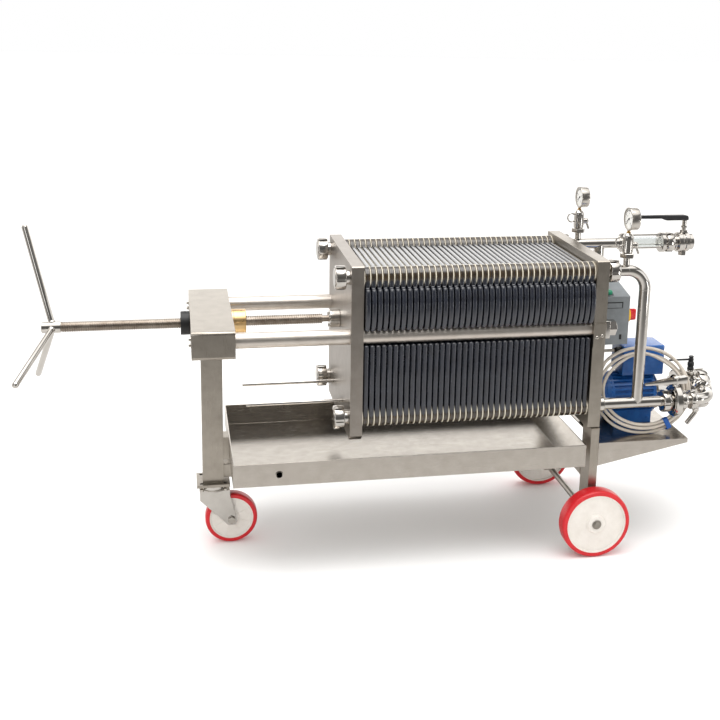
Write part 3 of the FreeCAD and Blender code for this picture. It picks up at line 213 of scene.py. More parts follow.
class Shape:
    """Points in millimetres and faces, gathered from simple solids."""

    def __init__(self):
        self.points, self.faces = [], []

    def skin(self, rings, capped=True, closed=False):
        """Joins rings of as many points; closed joins the last ring to the first."""
        count, total, first = len(rings[0]), len(rings), len(self.points)
        for ring in rings:
            self.points += ring
        for row in range(total if closed else total - 1):
            low, high = first + row * count, first + (row + 1) % total * count
            for i in range(count):
                k = (i + 1) % count
                self.faces.append((low + i, low + k, high + k, high + i))
        if capped:
            last = first + (total - 1) * count
            self.faces.append(tuple(first + i for i in reversed(range(count))))
            self.faces.append(tuple(last + i for i in range(count)))

    def put(self, rings, base, axis, capped=True):
        """Joins rings of (across, up, along), set at a base and along an axis."""
        turn, home = turn_to(axis), Vector(base)
        self.skin([[home + turn @ Vector(spot) for spot in ring] for ring in rings], capped)

    def lathe(self, profile, base, count=64, closed=False, axis="x"):
        """Turns (radius, along) points round an axis; closed joins the last to the first."""
        spots = list(profile) + ([profile[0]] if closed else [])
        rings = [[
            (r * cos(2 * pi * i / count), r * sin(2 * pi * i / count), along)
            for i in range(count)] for r, along in spots]
        self.put(rings, base, axis, not closed)

    def rod(self, radius, start, length, ease=0.6, count=40, axis="x"):
        ease = min(ease, radius * 0.5, length * 0.4)
        profile = [(radius - ease, 0), (radius, ease), (radius, length - ease),
                   (radius - ease, length)]
        self.lathe(profile, start, count, axis=axis)

    def bored(self, radius, bore, start, length, ease=0.8, count=56, axis="x"):
        profile = [(bore, 0), (radius - ease, 0), (radius, ease), (radius, length - ease),
                   (radius - ease, length), (bore, length)]
        self.lathe(profile, start, count, True, axis)

    def dome(self, radius, height, start, count=40, axis="x"):
        profile = [(radius * cos(pi / 14 * k * 0.995), height * sin(pi / 14 * k * 0.995))
                   for k in range(8)]
        self.lathe(profile, start, count, axis=axis)

    def stretch(self, outline, levels, base, axis="x"):
        """A flat outline pulled along an axis, drawn in by an amount at each level."""
        count = len(outline)
        edges = []
        for i in range(count):
            before, here, after = (Vector(outline[(i + s) % count]) for s in (-1, 0, 1))
            a, b = (here - before), (after - here)
            a = a.normalized() if a.length > 1e-9 else b.normalized()
            b = b.normalized() if b.length > 1e-9 else a
            out = Vector((a.y + b.y, -(a.x + b.x)))
            scale = max(0.5, out.length_squared / 2)
            edges.append((here, out / scale))
        rings = [[(p.x - n.x * inset, p.y - n.y * inset, along) for p, n in edges]
                 for along, inset in levels]
        self.put(rings, base, axis)

    def block(self, low, high, ease=1):
        """A box with eased edges."""
        low, high = Vector(low), Vector(high)
        size, mid = (high - low) / 2, (high + low) / 2
        ease = min(ease, min(size) * 0.8)
        w, d = size.x, size.y
        corners = rounded([(w - ease, ease - d), (w - ease, d - ease), (ease - w, d - ease),
                           (ease - w, ease - d)], ease, 3, -90)
        base = mid - Vector((0, 0, size.z))
        e = ease
        levels = [(0, e), (e * 0.13, e * 0.5), (e * 0.5, e * 0.13), (e, 0),
                  (2 * size.z - e, 0), (2 * size.z - e * 0.5, e * 0.13),
                  (2 * size.z - e * 0.13, e * 0.5), (2 * size.z, e)]
        rings = [[(mid.x + x * (w - i) / w, mid.y + y * (d - i) / d, along) for x, y in corners]
                 for along, i in levels]
        self.put(rings, (0, 0, base.z), "z")

    def hexagon(self, across, start, length, axis="x", ease=1):
        """A hexagon head or nut; across is its width over flats."""
        size = across / cos(pi / 6) / 2
        outline = [(size * cos(pi / 3 * k), size * sin(pi / 3 * k)) for k in range(6)]
        levels = [(0, ease * 0.6), (ease * 0.5, 0), (length - ease * 0.5, 0), (length, ease * 0.6)]
        self.stretch(outline, levels, start, axis)

    def sweep(self, path, radius, count=32, closed=False):
        """A round bar along a line of points."""
        spots = [Vector(p) for p in path]
        total = len(spots)
        ways = []
        for i in range(total):
            if closed:
                way = spots[(i + 1) % total] - spots[i - 1]
            else:
                way = spots[min(i + 1, total - 1)] - spots[max(i - 1, 0)]
            ways.append(way.normalized())
        side = ways[0].orthogonal().normalized()
        sizes = radius if isinstance(radius, list) else [radius] * total
        turns = [2 * pi * i / count for i in range(count)]
        rings = []
        for spot, way, size in zip(spots, ways, sizes):
            side = (side - way * side.dot(way)).normalized()
            up = way.cross(side)
            rings.append([spot + (side * cos(a) + up * sin(a)) * size for a in turns])
        self.skin(rings, not closed, closed)

    def move(self, begin, matrix):
        """Moves the points added since a count by a matrix."""
        for i in range(begin, len(self.points)):
            self.points[i] = matrix @ self.points[i]


def placed(name, data):
    """An object of this data, linked to the scene."""
    thing = bpy.data.objects.new(name, data)
    bpy.context.scene.collection.objects.link(thing)
    return thing


def piece(name, shape, look, stands_for=None, body="frame", sharp=33):
    """Makes a shape into a piece that moves with a body and may stand for a node."""
    mesh = bpy.data.meshes.new(name)
    mesh.from_pydata([tuple(p * MM) for p in shape.points], [], shape.faces)
    mesh.polygons.foreach_set("use_smooth", [True] * len(mesh.polygons))
    mesh.set_sharp_from_angle(angle=radians(sharp))
    mesh.materials.append(LOOK[look])
    thing = placed(name, mesh)
    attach(thing, body)
    if stands_for:
        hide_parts(stands_for)
    return thing


def bend_path(corners, bend, step=8):
    """Points along straight runs with round bends at the corners."""
    spots = [Vector(c) for c in corners]
    path = [spots[0]]
    for i in range(1, len(spots) - 1):
        a = (spots[i - 1] - spots[i]).normalized()
        b = (spots[i + 1] - spots[i]).normalized()
        half = a.angle(b) / 2
        back = bend / tan(half)
        middle = spots[i] + (a + b).normalized() * (bend / sin(half))
        enter = spots[i] + a * back - middle
        turn = pi - 2 * half
        axis = enter.cross(spots[i] + b * back - middle).normalized()
        steps = max(4, int(degrees(turn) / step))
        for k in range(steps + 1):
            path.append(middle + Matrix.Rotation(turn * k / steps, 3, axis) @ enter)
    path.append(spots[-1])
    return path[:1] + [b for a, b in zip(path, path[1:]) if (b - a).length > 0.01]


def around(count, radius, start=0, centre=(0, 0)):
    """Places on a circle as (y, z), from an angle in degrees."""
    angles = [radians(start) + 2 * pi * k / count for k in range(count)]
    return [(centre[0] + radius * cos(a), centre[1] + radius * sin(a)) for a in angles]


def mirrored(profile):
    """A profile followed by its mirror image along the axis."""
    return profile + [(radius, -along) for radius, along in reversed(profile)]


def ribs(shape, count, centre, axis, low, high, ease=0.4, start=0, tilt=0):
    """Small blocks set round an axis."""
    for k in range(count):
        begin = len(shape.points)
        shape.block(low, high, ease)
        spin = Matrix.Rotation(2 * pi * k / count + start, 4, axis)
        shape.move(begin, Matrix.Translation(centre) @ spin @ Matrix.Rotation(tilt, 4, "X"))


def slotted_outline(radius, depth, width, count, per=6):
    """A round outline with slots for a hook spanner."""
    spots = []
    pitch = 2 * pi / count
    half, inner = asin(width / 2 / radius), asin(width / 2 / (radius - depth))
    for k in range(count):
        middle = pitch * k
        for a in (middle - inner, middle + inner):
            spots.append(((radius - depth) * cos(a), (radius - depth) * sin(a)))
        for step in range(per + 1):
            a = middle + half + (pitch - 2 * half) * step / per
            spots.append((radius * cos(a), radius * sin(a)))
    return spots


# -------- sizes in millimetres
BACK_X = 569.4
AXIS_Z, PORT_Y, PORT_TOP, PORT_LOW = 655, 178, 816, 427
PACK_X, PLATE, GAP, COUNT = -110, 12.6, 3.4, 40
PUMP_Y, SHAFT_Z = -15, 400
PORT_X, CASING_X, RISER_X, PIPE = 932.4, 885.4, 690.4, 16
AXLE_X, AXLE_Z, WHEEL_Y, CASTER_X, CASTER_Z, LEG_X = 556.9, 100, 248, -452, 74, -502
RAIL_Y, GAUGE_Z = 184, 961
GAUGES = ((-PORT_Y, 630.4), (PORT_Y, 619.4))
PORTS = [(y, z) for y in (-PORT_Y, PORT_Y) for z in (PORT_TOP, PORT_LOW)]


# -------- the pack
def plate_half():
    """The right half of a plate's outline, from the top edge down and round."""
    spots = [(154.6, 829.5)]
    for angle in range(145, -6, -10):
        a = radians(angle)
        spots.append((PORT_Y + 27 * cos(a), PORT_TOP + 27 * sin(a)))
    spots += [(205, 800), (205, 792.5), (206.5, 791), (214, 791), (216.5, 789.5)]
    for step in range(1, 12):
        z = 789.5 - (789.5 - 680) * step / 12
        spots.append((228 - 11.5 * ((z - 735) / 55) ** 2, z))
    spots += [(216, 680), (213, 676.4), (160, 676.4), (160, 633), (203, 633), (205, 631)]
    for angle in range(0, -181, -12):
        a = radians(angle)
        spots.append((PORT_Y + 27 * cos(a), PORT_LOW + 27 * sin(a)))
    spots += [(151, 462), (148, 468), (144, 469)]
    return spots


half = plate_half()
outline = half + [(-y, z) for y, z in reversed(half)]
outline = [(y, z - AXIS_Z) for y, z in reversed(outline)]
EASED = [(0, 3), (0.5, 1.9), (1.5, 0.95), (3.2, 0.35), (6.3, 0), (9.4, 0.35), (11.1, 0.95),
         (12.1, 1.9), (12.6, 3)]
EAR = [(20, 0.4), (26.6, 0.4), (27.3, 1.1), (27.3, 5.3), (26.4, 5.8), (26.4, 6.8),
       (27.3, 7.3), (27.3, 11.5), (26.6, 12.2), (20, 12.2)]
SEAL = [(19, 0.5), (27, 0.5), (27.7, 1), (27.7, 2.4), (27, 2.9), (19, 2.9)]
plates, ears, rings = Shape(), Shape(), Shape()
for number in range(COUNT + 1):
    x = PACK_X + number * (PLATE + GAP)
    for y, z in PORTS:
        rings.lathe(SEAL, (x, y, z), 32, True)
for number in range(COUNT):
    x = PACK_X + GAP + number * (PLATE + GAP)
    plates.stretch(outline, EASED, (x, 0, AXIS_Z))
    for y, z in PORTS:
        ears.lathe(EAR, (x, y, z), 32, True)
piece("plates", plates, "plate_plastic", "filter_plates", sharp=40)
piece("plate_ears", ears, "ear_plastic")
piece("port_seals", rings, "seal_cream")

# -------- screw, handle and crosshead
screw = Shape()
PITCH, PER, THREAD = 6, 24, 704
# share of the pitch and radius across one thread
ROWS = ((0, 12.2), (0.3, 12.2), (0.44, 14.4), (0.8, 14.4), (0.96, 12.2))
steps = int(THREAD / PITCH * PER)
for step in range(steps + 1):
    a = 2 * pi * step / PER
    for share, r in ROWS:
        x = max(0, min(THREAD, PITCH * (step / PER - 0.5 + share)))
        screw.points.append(Vector((-897 + x, r * cos(a), AXIS_Z + r * sin(a))))
for step in range(steps):
    low, high = step * len(ROWS), (step + 1) * len(ROWS)
    for k in range(len(ROWS) - 1):
        screw.faces.append((low + k, low + k + 1, high + k + 1, high + k))
screw.rod(12.2, (-897, 0, AXIS_Z), THREAD, 0.5, 48)
screw.lathe([(8.9, 0), (8.9, 44)], (-194, 0, AXIS_Z), 40)
piece("threaded_screw", screw, "screw_steel", "spindle", "screw", sharp=40)

handle = Shape()
handle.rod(15.5, (-947, 0, AXIS_Z), 50, 1.2, 48)
handle.bored(11.5, 5, (-948.2, 0, AXIS_Z), 2, 0.4, 40)
for number in range(3):
    begin = len(handle.points)
    handle.lathe([(8.5, 6), (8.5, 278)] + [
        (8.5 * cos(radians(t)), 278 + 7.5 * sin(radians(t)))
        for t in (20, 40, 60, 80, 89)], (0, 0, 0), 32, axis="z")
    handle.lathe([(8.5, 14.2), (10.4, 15), (9.6, 16.6), (8.5, 18.4)], (0, 0, 0), 32, axis="z")
    spin = Matrix.Rotation(radians(-15 + 120 * number), 4, "X")
    lean = Matrix.Rotation(radians(-14), 4, "Y")
    home = Matrix.Translation((-897 - 50 * 0.42, 0, AXIS_Z))
    handle.move(begin, home @ spin @ lean)
piece("hand_wheel", handle, "polished_steel", "handle_spokes", "screw")

bronze = Shape()
bronze.bored(33.5, 15, (-446, 0, AXIS_Z), 40, 1.6, 72)
bronze.bored(33.9, 33, (-440, 0, AXIS_Z), 1.4, 0.4, 72)
piece("bronze_nut", bronze, "bronze", "screw_nut")
collar = Shape()
collar.bored(32.5, 15, (-583, 0, AXIS_Z), 25, 1.5, 72)
collar.rod(3.2, (-571, 0, AXIS_Z + 29), 4.2, 0.5, 20, "z")
piece("collar", collar, "black_collar", "screw_collar")
boss = Shape()
boss.bored(26, 9.2, (-173, 0, AXIS_Z), 29, 1.4, 72)
for y, z in around(3, 19, 30, (0, AXIS_Z)):
    boss.hexagon(9, (-176.5, y, z), 4)
piece("boss", boss, "polished_steel", "thrust_boss", "moving_head")

bolts = Shape()
for y in (-RAIL_Y, RAIL_Y):
    for z in (-8, 8):
        bolts.rod(4.6, (-564.5, y, AXIS_Z + z), 6.7, 0.6, 24)
        bolts.rod(7, (-559, y, AXIS_Z + z), 1.2, 0.3, 24)
for x, z in ((543, 636), (558, 640)):
    for sign in (-1, 1):
        bolts.lathe([(5.2, 0), (5.2, 1.6), (3.8, 3.2), (1.2, 3.8)],
                    (x, sign * 214.8, z), 24, axis=(0, sign, 0))
for x in (-535, -469):
    for y in (-33, 33):
        bolts.hexagon(11, (x, y, 170), 6, "z")
        bolts.hexagon(11, (x, y, 186), 6, "z")
piece("frame_bolts", bolts, "bolt_steel")

# rails and guide rods with eased ends
rails = Shape()
for y in (-RAIL_Y, RAIL_Y):
    rails.rod(21, (-446, y, AXIS_Z), 979.4, 0.5, 64)
piece("rails", rails, "rail_steel", "side_rails")
thin = Shape()
for y in (-84, 84):
    thin.rod(5, (-412, y, 440), 945.4, 1, 32)
piece("thin_rods", thin, "polished_steel", "guide_rods")
ends = Shape()
for y in (-RAIL_Y, RAIL_Y):
    ends.block((569.4, y - 25, 630), (583.4, y + 25, 680), 1.5)
    ends.hexagon(39.8, (583.4, y, AXIS_Z), 22, "x", 2)
    ends.dome(15, 7.5, (605.4, y, AXIS_Z), 40)
piece("rail_end_nuts", ends, "polished_steel", "rail_nuts")


# -------- round nuts
def round_nut(shape, start, length, radius, axis="x", slots=6, depth=4, width=9):
    shape.stretch(slotted_outline(radius, depth, width, slots),
                  [(0, 2.2), (0.9, 0.8), (2.2, 0), (length - 2.2, 0), (length - 0.9, 0.8),
                   (length, 2.2)], start, axis)


blanks = Shape()
for y, z in PORTS:
    round_nut(blanks, (-184, y, z), 28, 32)
    blanks.rod(19.5, (-156, y, z), 12, 0.6, 48)
    blanks.rod(24.5, (-185.6, y, z), 2, 0.8, 48)
piece("blank_nuts", blanks, "polished_steel", "blank_port_nuts", "moving_head")

nuts = Shape()
for y, z, start, length, radius in (
        (-PORT_Y, PORT_TOP, 577.4, 28, 32), (PORT_Y, PORT_TOP, 569.7, 18, 32),
        (PORT_Y, PORT_LOW, 569.7, 18, 32)):
    round_nut(nuts, (start, y, z), length, radius)
nuts.rod(21.5, (569.7, -PORT_Y, PORT_LOW), 18, 1.5, 56)
nuts.rod(20.5, (569.7, -PORT_Y, PORT_TOP), 7.6, 0.8, 56)
round_nut(nuts, (766, -PORT_Y, PORT_LOW), 24, 32)
round_nut(nuts, (824, -PORT_Y, PORT_LOW), 16, 28)
round_nut(nuts, (852, -PORT_Y, PORT_LOW), 16, 28)
round_nut(nuts, (PORT_X, -101, PORT_LOW), 22, 28, "y")
piece("clamp_nuts", nuts, "polished_steel", "union_nuts")

disc = Shape()
disc.bored(47, 15, (796, -PORT_Y, PORT_LOW), 22, 4, 80)
disc.bored(38, 15, (794.4, -PORT_Y, PORT_LOW), 25.2, 1, 64)
disc.rod(19.5, (790, -PORT_Y, PORT_LOW), 34, 0.6, 48)
disc.rod(11.5, (807, -PORT_Y, PORT_LOW + 40), 7.2, 0.6, 32, "z")
disc.hexagon(13, (807, -PORT_Y, PORT_LOW - 51.5), 6, "z")
piece("butterfly_body", disc, "polished_steel", "feed_check_valve")

grip = Shape()
grip.rod(10, (807, -PORT_Y, 474.3), 24, 1, 40, "z")
plan = [(-94, -4.5), (-96.5, 0), (-94, 4.5), (-20, 10), (32, 10), (32, -10), (-20, -10)]
levels = []
for inset, place in ((1.2, 0), (0.3, 0.12), (0, 0.5), (0.3, 0.88), (1.2, 1)):
    ring = []
    for x, y in plan:
        share = (x + 96.5) / 128.5
        low, high = 476 + 3 * share, 482.2 + 16.8 * share
        scale = 1 - inset / 12
        ring.append((807 + x * (1 - inset / 60), -PORT_Y + y * scale, low + (high - low) * place))
    levels.append(ring)
grip.put(levels, (0, 0, 0), "z")
piece("butterfly_handle", grip, "polished_steel", "feed_lever", "feed_handle")

# -------- pipework
pipes = Shape()
front_riser = [(BACK_X, -PORT_Y, PORT_TOP), (RISER_X, -PORT_Y, PORT_TOP),
               (RISER_X, -PORT_Y, PORT_LOW)]
pipes.sweep(bend_path(front_riser, 56, 5), PIPE, 48)
pipes.sweep(bend_path([(BACK_X, -PORT_Y, PORT_LOW), (PORT_X, -PORT_Y, PORT_LOW),
                       (PORT_X, -79, PORT_LOW)], 56, 5), PIPE, 48)
pipes.sweep(bend_path([(876.4, -PORT_Y, PORT_LOW), (876.4, -PORT_Y, 387),
                       (850.4, -PORT_Y, 353)], 14, 10), 7, 28)
pipes.rod(9.6, (876.4, -PORT_Y, 391), 8, 0.8, 32, "z")


def weld(centre, axis):
    """A weld bead: a thin ring round a pipe."""
    pipes.lathe(around(8, 0.8, 0, (15.6, 0)), centre, 48, True, axis)


def saddle(shape, centre, radius=PIPE, way=1):
    """The bead where an upright pipe meets a level one."""
    path = []
    for k in range(48):
        a = 2 * pi * k / 48
        dx, dy = radius * cos(a), radius * sin(a)
        path.append((centre[0] + dx, centre[1] + dy,
                     centre[2] + way * sqrt(max(0, PIPE ** 2 - dy ** 2))))
    shape.sweep(path, 1.2, 8, True)


saddle(pipes, (RISER_X, -PORT_Y, PORT_LOW))
weld((634.4, -PORT_Y, PORT_TOP), "x")
weld((RISER_X, -PORT_Y, 760), "z")
weld((876.4, -PORT_Y, PORT_LOW), "x")
weld((PORT_X, -122, PORT_LOW), "y")
piece("feed_pipes", pipes, "pipe_steel", "inlet_pipes")

back = Shape()
back.rod(PIPE, (BACK_X, PORT_Y, PORT_TOP), 193, 0.4, 48)
back.sweep(bend_path([(RISER_X, PORT_Y, PORT_TOP), (RISER_X, PORT_Y, PORT_LOW),
                      (BACK_X, PORT_Y, PORT_LOW)], 56, 5), PIPE, 48)
saddle(back, (RISER_X, PORT_Y, PORT_TOP), way=-1)
piece("outlet_run", back, "pipe_steel", "outlet_pipes")

cage = Shape()
for start in (762.4, 889.4):
    cage.rod(31, (start, PORT_Y, PORT_TOP), 13, 1.2, 72)
for y, z in around(3, 24, 90, (PORT_Y, PORT_TOP)):
    cage.rod(3, (775, y, z), 115, 0.3, 24)
    for across, x, length in ((9, 757.6, 5), (9, 902.2, 4.4), (8.5, 775.2, 4), (8.5, 885.4, 4)):
        cage.hexagon(across, (x, y, z), length)
cage.rod(19.5, (751, PORT_Y, PORT_TOP), 11.6, 0.8, 56)
piece("glass_frame", cage, "polished_steel", "sight_glass_cage")
window = Shape()
window.bored(17, 14, (775.4, PORT_Y, PORT_TOP), 114, 0.4, 64)
piece("glass_tube", window, "clear_glass", "sight_glass")

valve = Shape()
round_nut(valve, (906.8, PORT_Y, PORT_TOP), 25, 30.5)
for radius, x, length, ease, count in (
        (23, 902.4, 42, 0.6, 56), (26, 936, 4, 0.8, 56), (31, 944.4, 16, 2, 64),
        (29, 959, 10, 0.6, 64), (31, 967.4, 15, 2, 64)):
    valve.rod(radius, (x, PORT_Y, PORT_TOP), length, ease, count)
valve.bored(25, 17, (980, PORT_Y, PORT_TOP), 16.4, 1.2, 64)
valve.rod(7, (968.4, PORT_Y, PORT_TOP + 25), 44, 0.5, 32, "z")
valve.hexagon(22, (968.4, PORT_Y, PORT_TOP + 29), 10, "z")
valve.hexagon(17, (968.4, PORT_Y, PORT_TOP + 46), 6, "z")
valve.hexagon(22, (968.4, PORT_Y, PORT_TOP - 42), 14, "z")
piece("outlet_valve_body", valve, "polished_steel", "outlet_valve")

arm = Shape()
side = [(-150, 6.2), (-153, 8.5), (-153, 13.5), (-150, 16), (-84, 16.3), (-4, 16.3), (8, 14),
        (11, 8), (11, 2), (8, 0), (-60, 0), (-66, 1), (-80, 6)]
begin = len(arm.points)
arm.stretch(side[::-1], [(-9, 2.2), (-8, 0.8), (-6, 0), (6, 0), (8, 0.8), (9, 2.2)],
            (0, 0, 0), "z")
for i in range(begin, len(arm.points)):
    across, up, along = arm.points[i]
    thin_side = 0.62 if across < -84 else 1
    arm.points[i] = Vector((968.4 + across, PORT_Y + along * thin_side, 885.3 + up))
piece("outlet_grip", arm, "black_lever", "outlet_lever", "outlet_handle")

# -------- gauges and sampling valves
cases, dials, taps, necks, marks, ticks = Shape(), Shape(), Shape(), Shape(), Shape(), Shape()
for y, valve_x in GAUGES:
    front, z = valve_x - 4, GAUGE_Z
    cases.lathe([(28, 4.1), (28, 0.4), (28.6, 0), (31.4, 0), (32, 0.8), (32, 4.6), (31.2, 5.4),
                 (31.2, 22.5), (30.4, 25), (28, 26), (4, 26), (0.01, 26)], (front, y, z), 96)
    dials.rod(28, (front + 2.8, y, z), 1.2, 0.1, 64)
    for k in range(41):
        a = radians(225 - 270 * k / 40)
        long = 5 if k % 10 == 0 else (3.6 if k % 5 == 0 else 2.2)
        c, s = -cos(a), sin(a)
        wide = 0.45 if k % 5 else 0.8
        corners = [(y + r * c - w * s, z + r * s + w * c) for r, w in (
            (25.5 - long, -wide), (25.5, -wide), (25.5, wide), (25.5 - long, wide))]
        ticks.put([[(*corner, depth) for corner in corners] for depth in (2.4, 2.75)],
                  (front, 0, 0), "x")
    marks.rod(2.6, (front + 0.9, y, z), 1.9, 0.3, 24)
    a = radians(215)
    tip = Vector((front + 1.8, y - 20 * cos(a), z + 20 * sin(a)))
    tail = Vector((front + 1.8, y + 6 * cos(a), z - 6 * sin(a)))
    marks.sweep([tail, (tail + tip) / 2, tip], [0.9, 0.8, 0.25], 10)
    necks.hexagon(11, (valve_x, y, 921.5), 4, "z")
    necks.rod(4, (valve_x, y, 922), 8.5, 0.3, 28, "z")
    begin = len(taps.points)
    taps.lathe([(8, 30), (9, 31), (9, 50), (13.5, 53), (15, 55.5), (15, 62)],
               (0, 0, 801.5), 48, axis="z")
    taps.hexagon(36, (0, 0, 853), 13, "z", 2)
    taps.lathe([(12, 865.5), (15, 869), (15, 909), (14.2, 914), (11, 918.5), (7, 921), (6, 922)],
               (0, 0, 0), 56, axis="z")
    taps.lathe([(15.7, 877), (15.7, 880)], (0, 0, 0), 56, axis="z")
    taps.rod(7.5, (0, 0, 887.5), 24, 0.8, 36)
    taps.dome(9, 7, (24, 0, 887.5), 32)
    taps.rod(9, (17, 0, 887.5), 7.2, 1, 36)
    spout = [(20, 0, 887.5), (27, 0, 878.5), (33, 0, 863.5)]
    taps.sweep(bend_path(spout, 6, 15), 3.2, 20)
    ring_path = []
    for k in range(30):
        a = radians(60 + 240 * k / 29)
        ring_path.append((-24 + 12 * cos(a), 0, 898 + 13 * sin(a)))
    taps.sweep(ring_path, 2, 14)
    taps.rod(3, (-20, 0, 909), 10, 0.4, 20)
    taps.rod(3.2, (-19, 0, 887), 10, 0.4, 20)
    saddle(taps, (0, 0, PORT_TOP), 9.2)
    taps.move(begin, Matrix.Translation((valve_x, y, 0)))
piece("gauge_bodies", cases, "gauge_steel", "gauge_cases")
piece("dials", dials, "dial_white", "gauge_dials")
piece("dial_ticks", ticks, "print_and_shade_black")
piece("dial_needles", marks, "print_and_shade_black")
piece("sampling_valves", taps, "polished_steel", "sample_valves")
piece("brass_necks", necks, "neck_brass", "gauge_necks")


def numeral(text, x, y, z, size):
    """A plain printed number on a dial, facing the hand wheel."""
    words = bpy.data.curves.new("dial_number_" + text, "FONT")
    words.body = text
    words.size = size * MM
    words.align_x = "CENTER"
    words.align_y = "CENTER"
    words.extrude = 0.0001
    words.materials.append(LOOK["print_and_shade_black"])
    thing = placed("dial_number", words)
    thing.location = Vector((x, y, z)) * MM
    thing.rotation_mode = "QUATERNION"
    thing.rotation_quaternion = Matrix(((0, 0, -1), (-1, 0, 0), (0, 1, 0))).to_quaternion()
    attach(thing, "frame")


for y, valve_x in GAUGES:
    for k in range(5):
        a = radians(225 - 67.5 * k)
        numeral(str(2 * k), valve_x - 4 + 2.6, y - 15.5 * cos(a), GAUGE_Z + 15.5 * sin(a), 7)

# -------- pump
pump = Shape()
pump.lathe([(56.5, 0), (58, 1.5), (58, 8.8), (56.8, 10), (48, 11.5), (37, 16), (34, 21), (34, 85)],
           (799.4, PUMP_Y, SHAFT_Z), 72)
for y, z in around(4, 50, 45, (PUMP_Y, SHAFT_Z)):
    pump.hexagon(13, (809.4, y, z), 6)
pump.rod(45, (CASING_X, PUMP_Y, SHAFT_Z), 94, 0.8, 72)
for start, ring in ((CASING_X, 27.5), (CASING_X + 66, -2)):
    round_nut(pump, (start, PUMP_Y, SHAFT_Z), 28, 60, "x", 12)
    pump.rod(50, (start + ring, PUMP_Y, SHAFT_Z), 2.5, 0.6, 64)
pump.lathe([(38, 0), (38, 1.2), (34, 2.6), (20, 3.4), (6, 3.8), (0.01, 3.8)],
           (979, PUMP_Y, SHAFT_Z), 64)
pump.rod(14, (PORT_X, PUMP_Y, SHAFT_Z), 66, 0.5, 40, "y")
pump.bored(18, 13.5, (PORT_X, 49, SHAFT_Z), 30, 1, 56, "y")
for k in range(4):
    pump.bored(18, 16, (PORT_X, 56 + 5 * k, SHAFT_Z), 2.4, 0.9, 56, "y")
pump.rod(15.9, (PORT_X, -79, PORT_LOW), 64, 0.4, 48, "y")
pump.rod(9.6, (PORT_X, PUMP_Y, SHAFT_Z), 60, 0.4, 32, "z")
pump.hexagon(24, (PORT_X, PUMP_Y, SHAFT_Z + 46), 10, "z")
piece("pump_body", pump, "polished_steel", "pump_head")

cock = Shape()
cock.lathe([(8.2, 0), (10, 1.2), (10, 7), (8.6, 8.6), (8.6, 12), (10, 13.4), (10, 22), (9.2, 24),
            (7.6, 25.4), (7.6, 28)], (PORT_X, PUMP_Y, SHAFT_Z + 60), 48, axis="z")
piece("cock_barrel", cock, "black_collar", "pump_cock")
tap = Shape()
tap.lathe([(6.4, 0), (8, 1.2), (8, 7.4), (5.6, 9.2), (5.6, 10), (7.9, 12), (7.9, 14), (5.6, 15.8),
           (0.01, 16)], (PORT_X, PUMP_Y, 488.3), 44, axis="z")
plan = [(-71, -2.6), (-71, 2.6), (-60, 3.5), (0, 3.5), (0, -3.5), (-60, -3.5)]
tap.stretch(plan[::-1], [(0, 1), (0.8, 0), (4.2, 0), (5, 1)],
            (PORT_X, PUMP_Y, 490.3), "z")
piece("cock_grip", tap, "black_lever", "cock_lever", "cock_handle")

# -------- motor
cowl = Shape()
cowl.lathe([(46, 1), (46, 0.2), (50, 0), (58, 1.6), (63, 5.4), (65.4, 10.5), (66, 15), (66, 27),
            (65.2, 27.6), (65.2, 28.6), (66, 29.2), (66, 43.2), (65.2, 44)],
           (615.4, PUMP_Y, SHAFT_Z), 96)
for k in range(3):
    cowl.bored(14 + 13 * k, 11 + 13 * k, (615.4, PUMP_Y, SHAFT_Z), 2.2, 0.6, 64)
ribs(cowl, 8, (615.4, PUMP_Y, SHAFT_Z), "X", (0, 8, -1.8), (2, 47, 1.8), 0.5)
for y, z in around(4, 1, 45):
    cowl.lathe([(3.4, 0), (3.4, 1), (2.4, 1.7), (0.01, 1.9)],
               (648, PUMP_Y + 65.6 * y, SHAFT_Z + 65.6 * z), 20, axis=(0, y, z))
piece("cowl", cowl, "motor_paint", "fan_cowl")
motor_bits = Shape()
for start in (659.6, 789.2):
    motor_bits.rod(64.6, (start, PUMP_Y, SHAFT_Z), 10, 1.6, 84)
for x in (684, 776):
    for y in (-68, 46):
        motor_bits.hexagon(12, (x, y - 2 if y < 0 else y + 2, 335), 6, "z")
piece("motor_shields", motor_bits, "motor_paint")

lid = Shape()
lid.block((692.4, -60, 465), (822.4, 30, 540), 3)
lid.block((693.4, -59, 538), (821.4, 29, 543), 1.5)
lid.block((692.4, -60, 541.5), (822.4, 30, 555), 3.4)
screws = Shape()
for x in (701, 814):
    for y in (-51, 21):
        lid.rod(4.2, (x, y, 552.5), 2.4, 0.5, 24, "z")
        screws.lathe([(3.3, 0), (3.3, 0.4), (2.4, 0.7), (0.01, 0.9)], (x, y, 554.4), 24, axis="z")
piece("terminal_lid", lid, "motor_paint", "terminal_box")
piece("lid_screws", screws, "bolt_steel")

glands = Shape()


def gland(start, axis):
    """A cable gland: hexagon, neck and ribbed cap."""
    glands.hexagon(17.6, start, 6, axis, 1.2)
    start, way = Vector(start), Vector(axis)
    glands.lathe([(7.4, 0), (7.4, 1.5)], start + way * 5.5, 40, axis=axis)
    glands.stretch(slotted_outline(8.9, 0.7, 1.2, 16, 3),
                   [(0, 0.8), (0.8, 0), (8, 0), (10.4, 0.8), (12.6, 2.6), (14, 3.2), (15.2, 3.6)],
                   start + way * 6.8, axis)


gland((692.4, -40, 540), (-1, 0, 0))
gland((569.4, -40, 540), (1, 0, 0))
gland((599.4, -70, 580), (0, 0, -1))
piece("gland_nuts", glands, "black_collar", "cable_glands")
lead = Shape()
lead.sweep([(591.4, -40, 540), (616.4, -40, 539.8), (641.9, -40, 539.6), (667.4, -40, 539.8),
            (670.4, -40, 540)], 4.4, 24)
piece("short_lead", lead, "cable_jacket", "motor_lead")
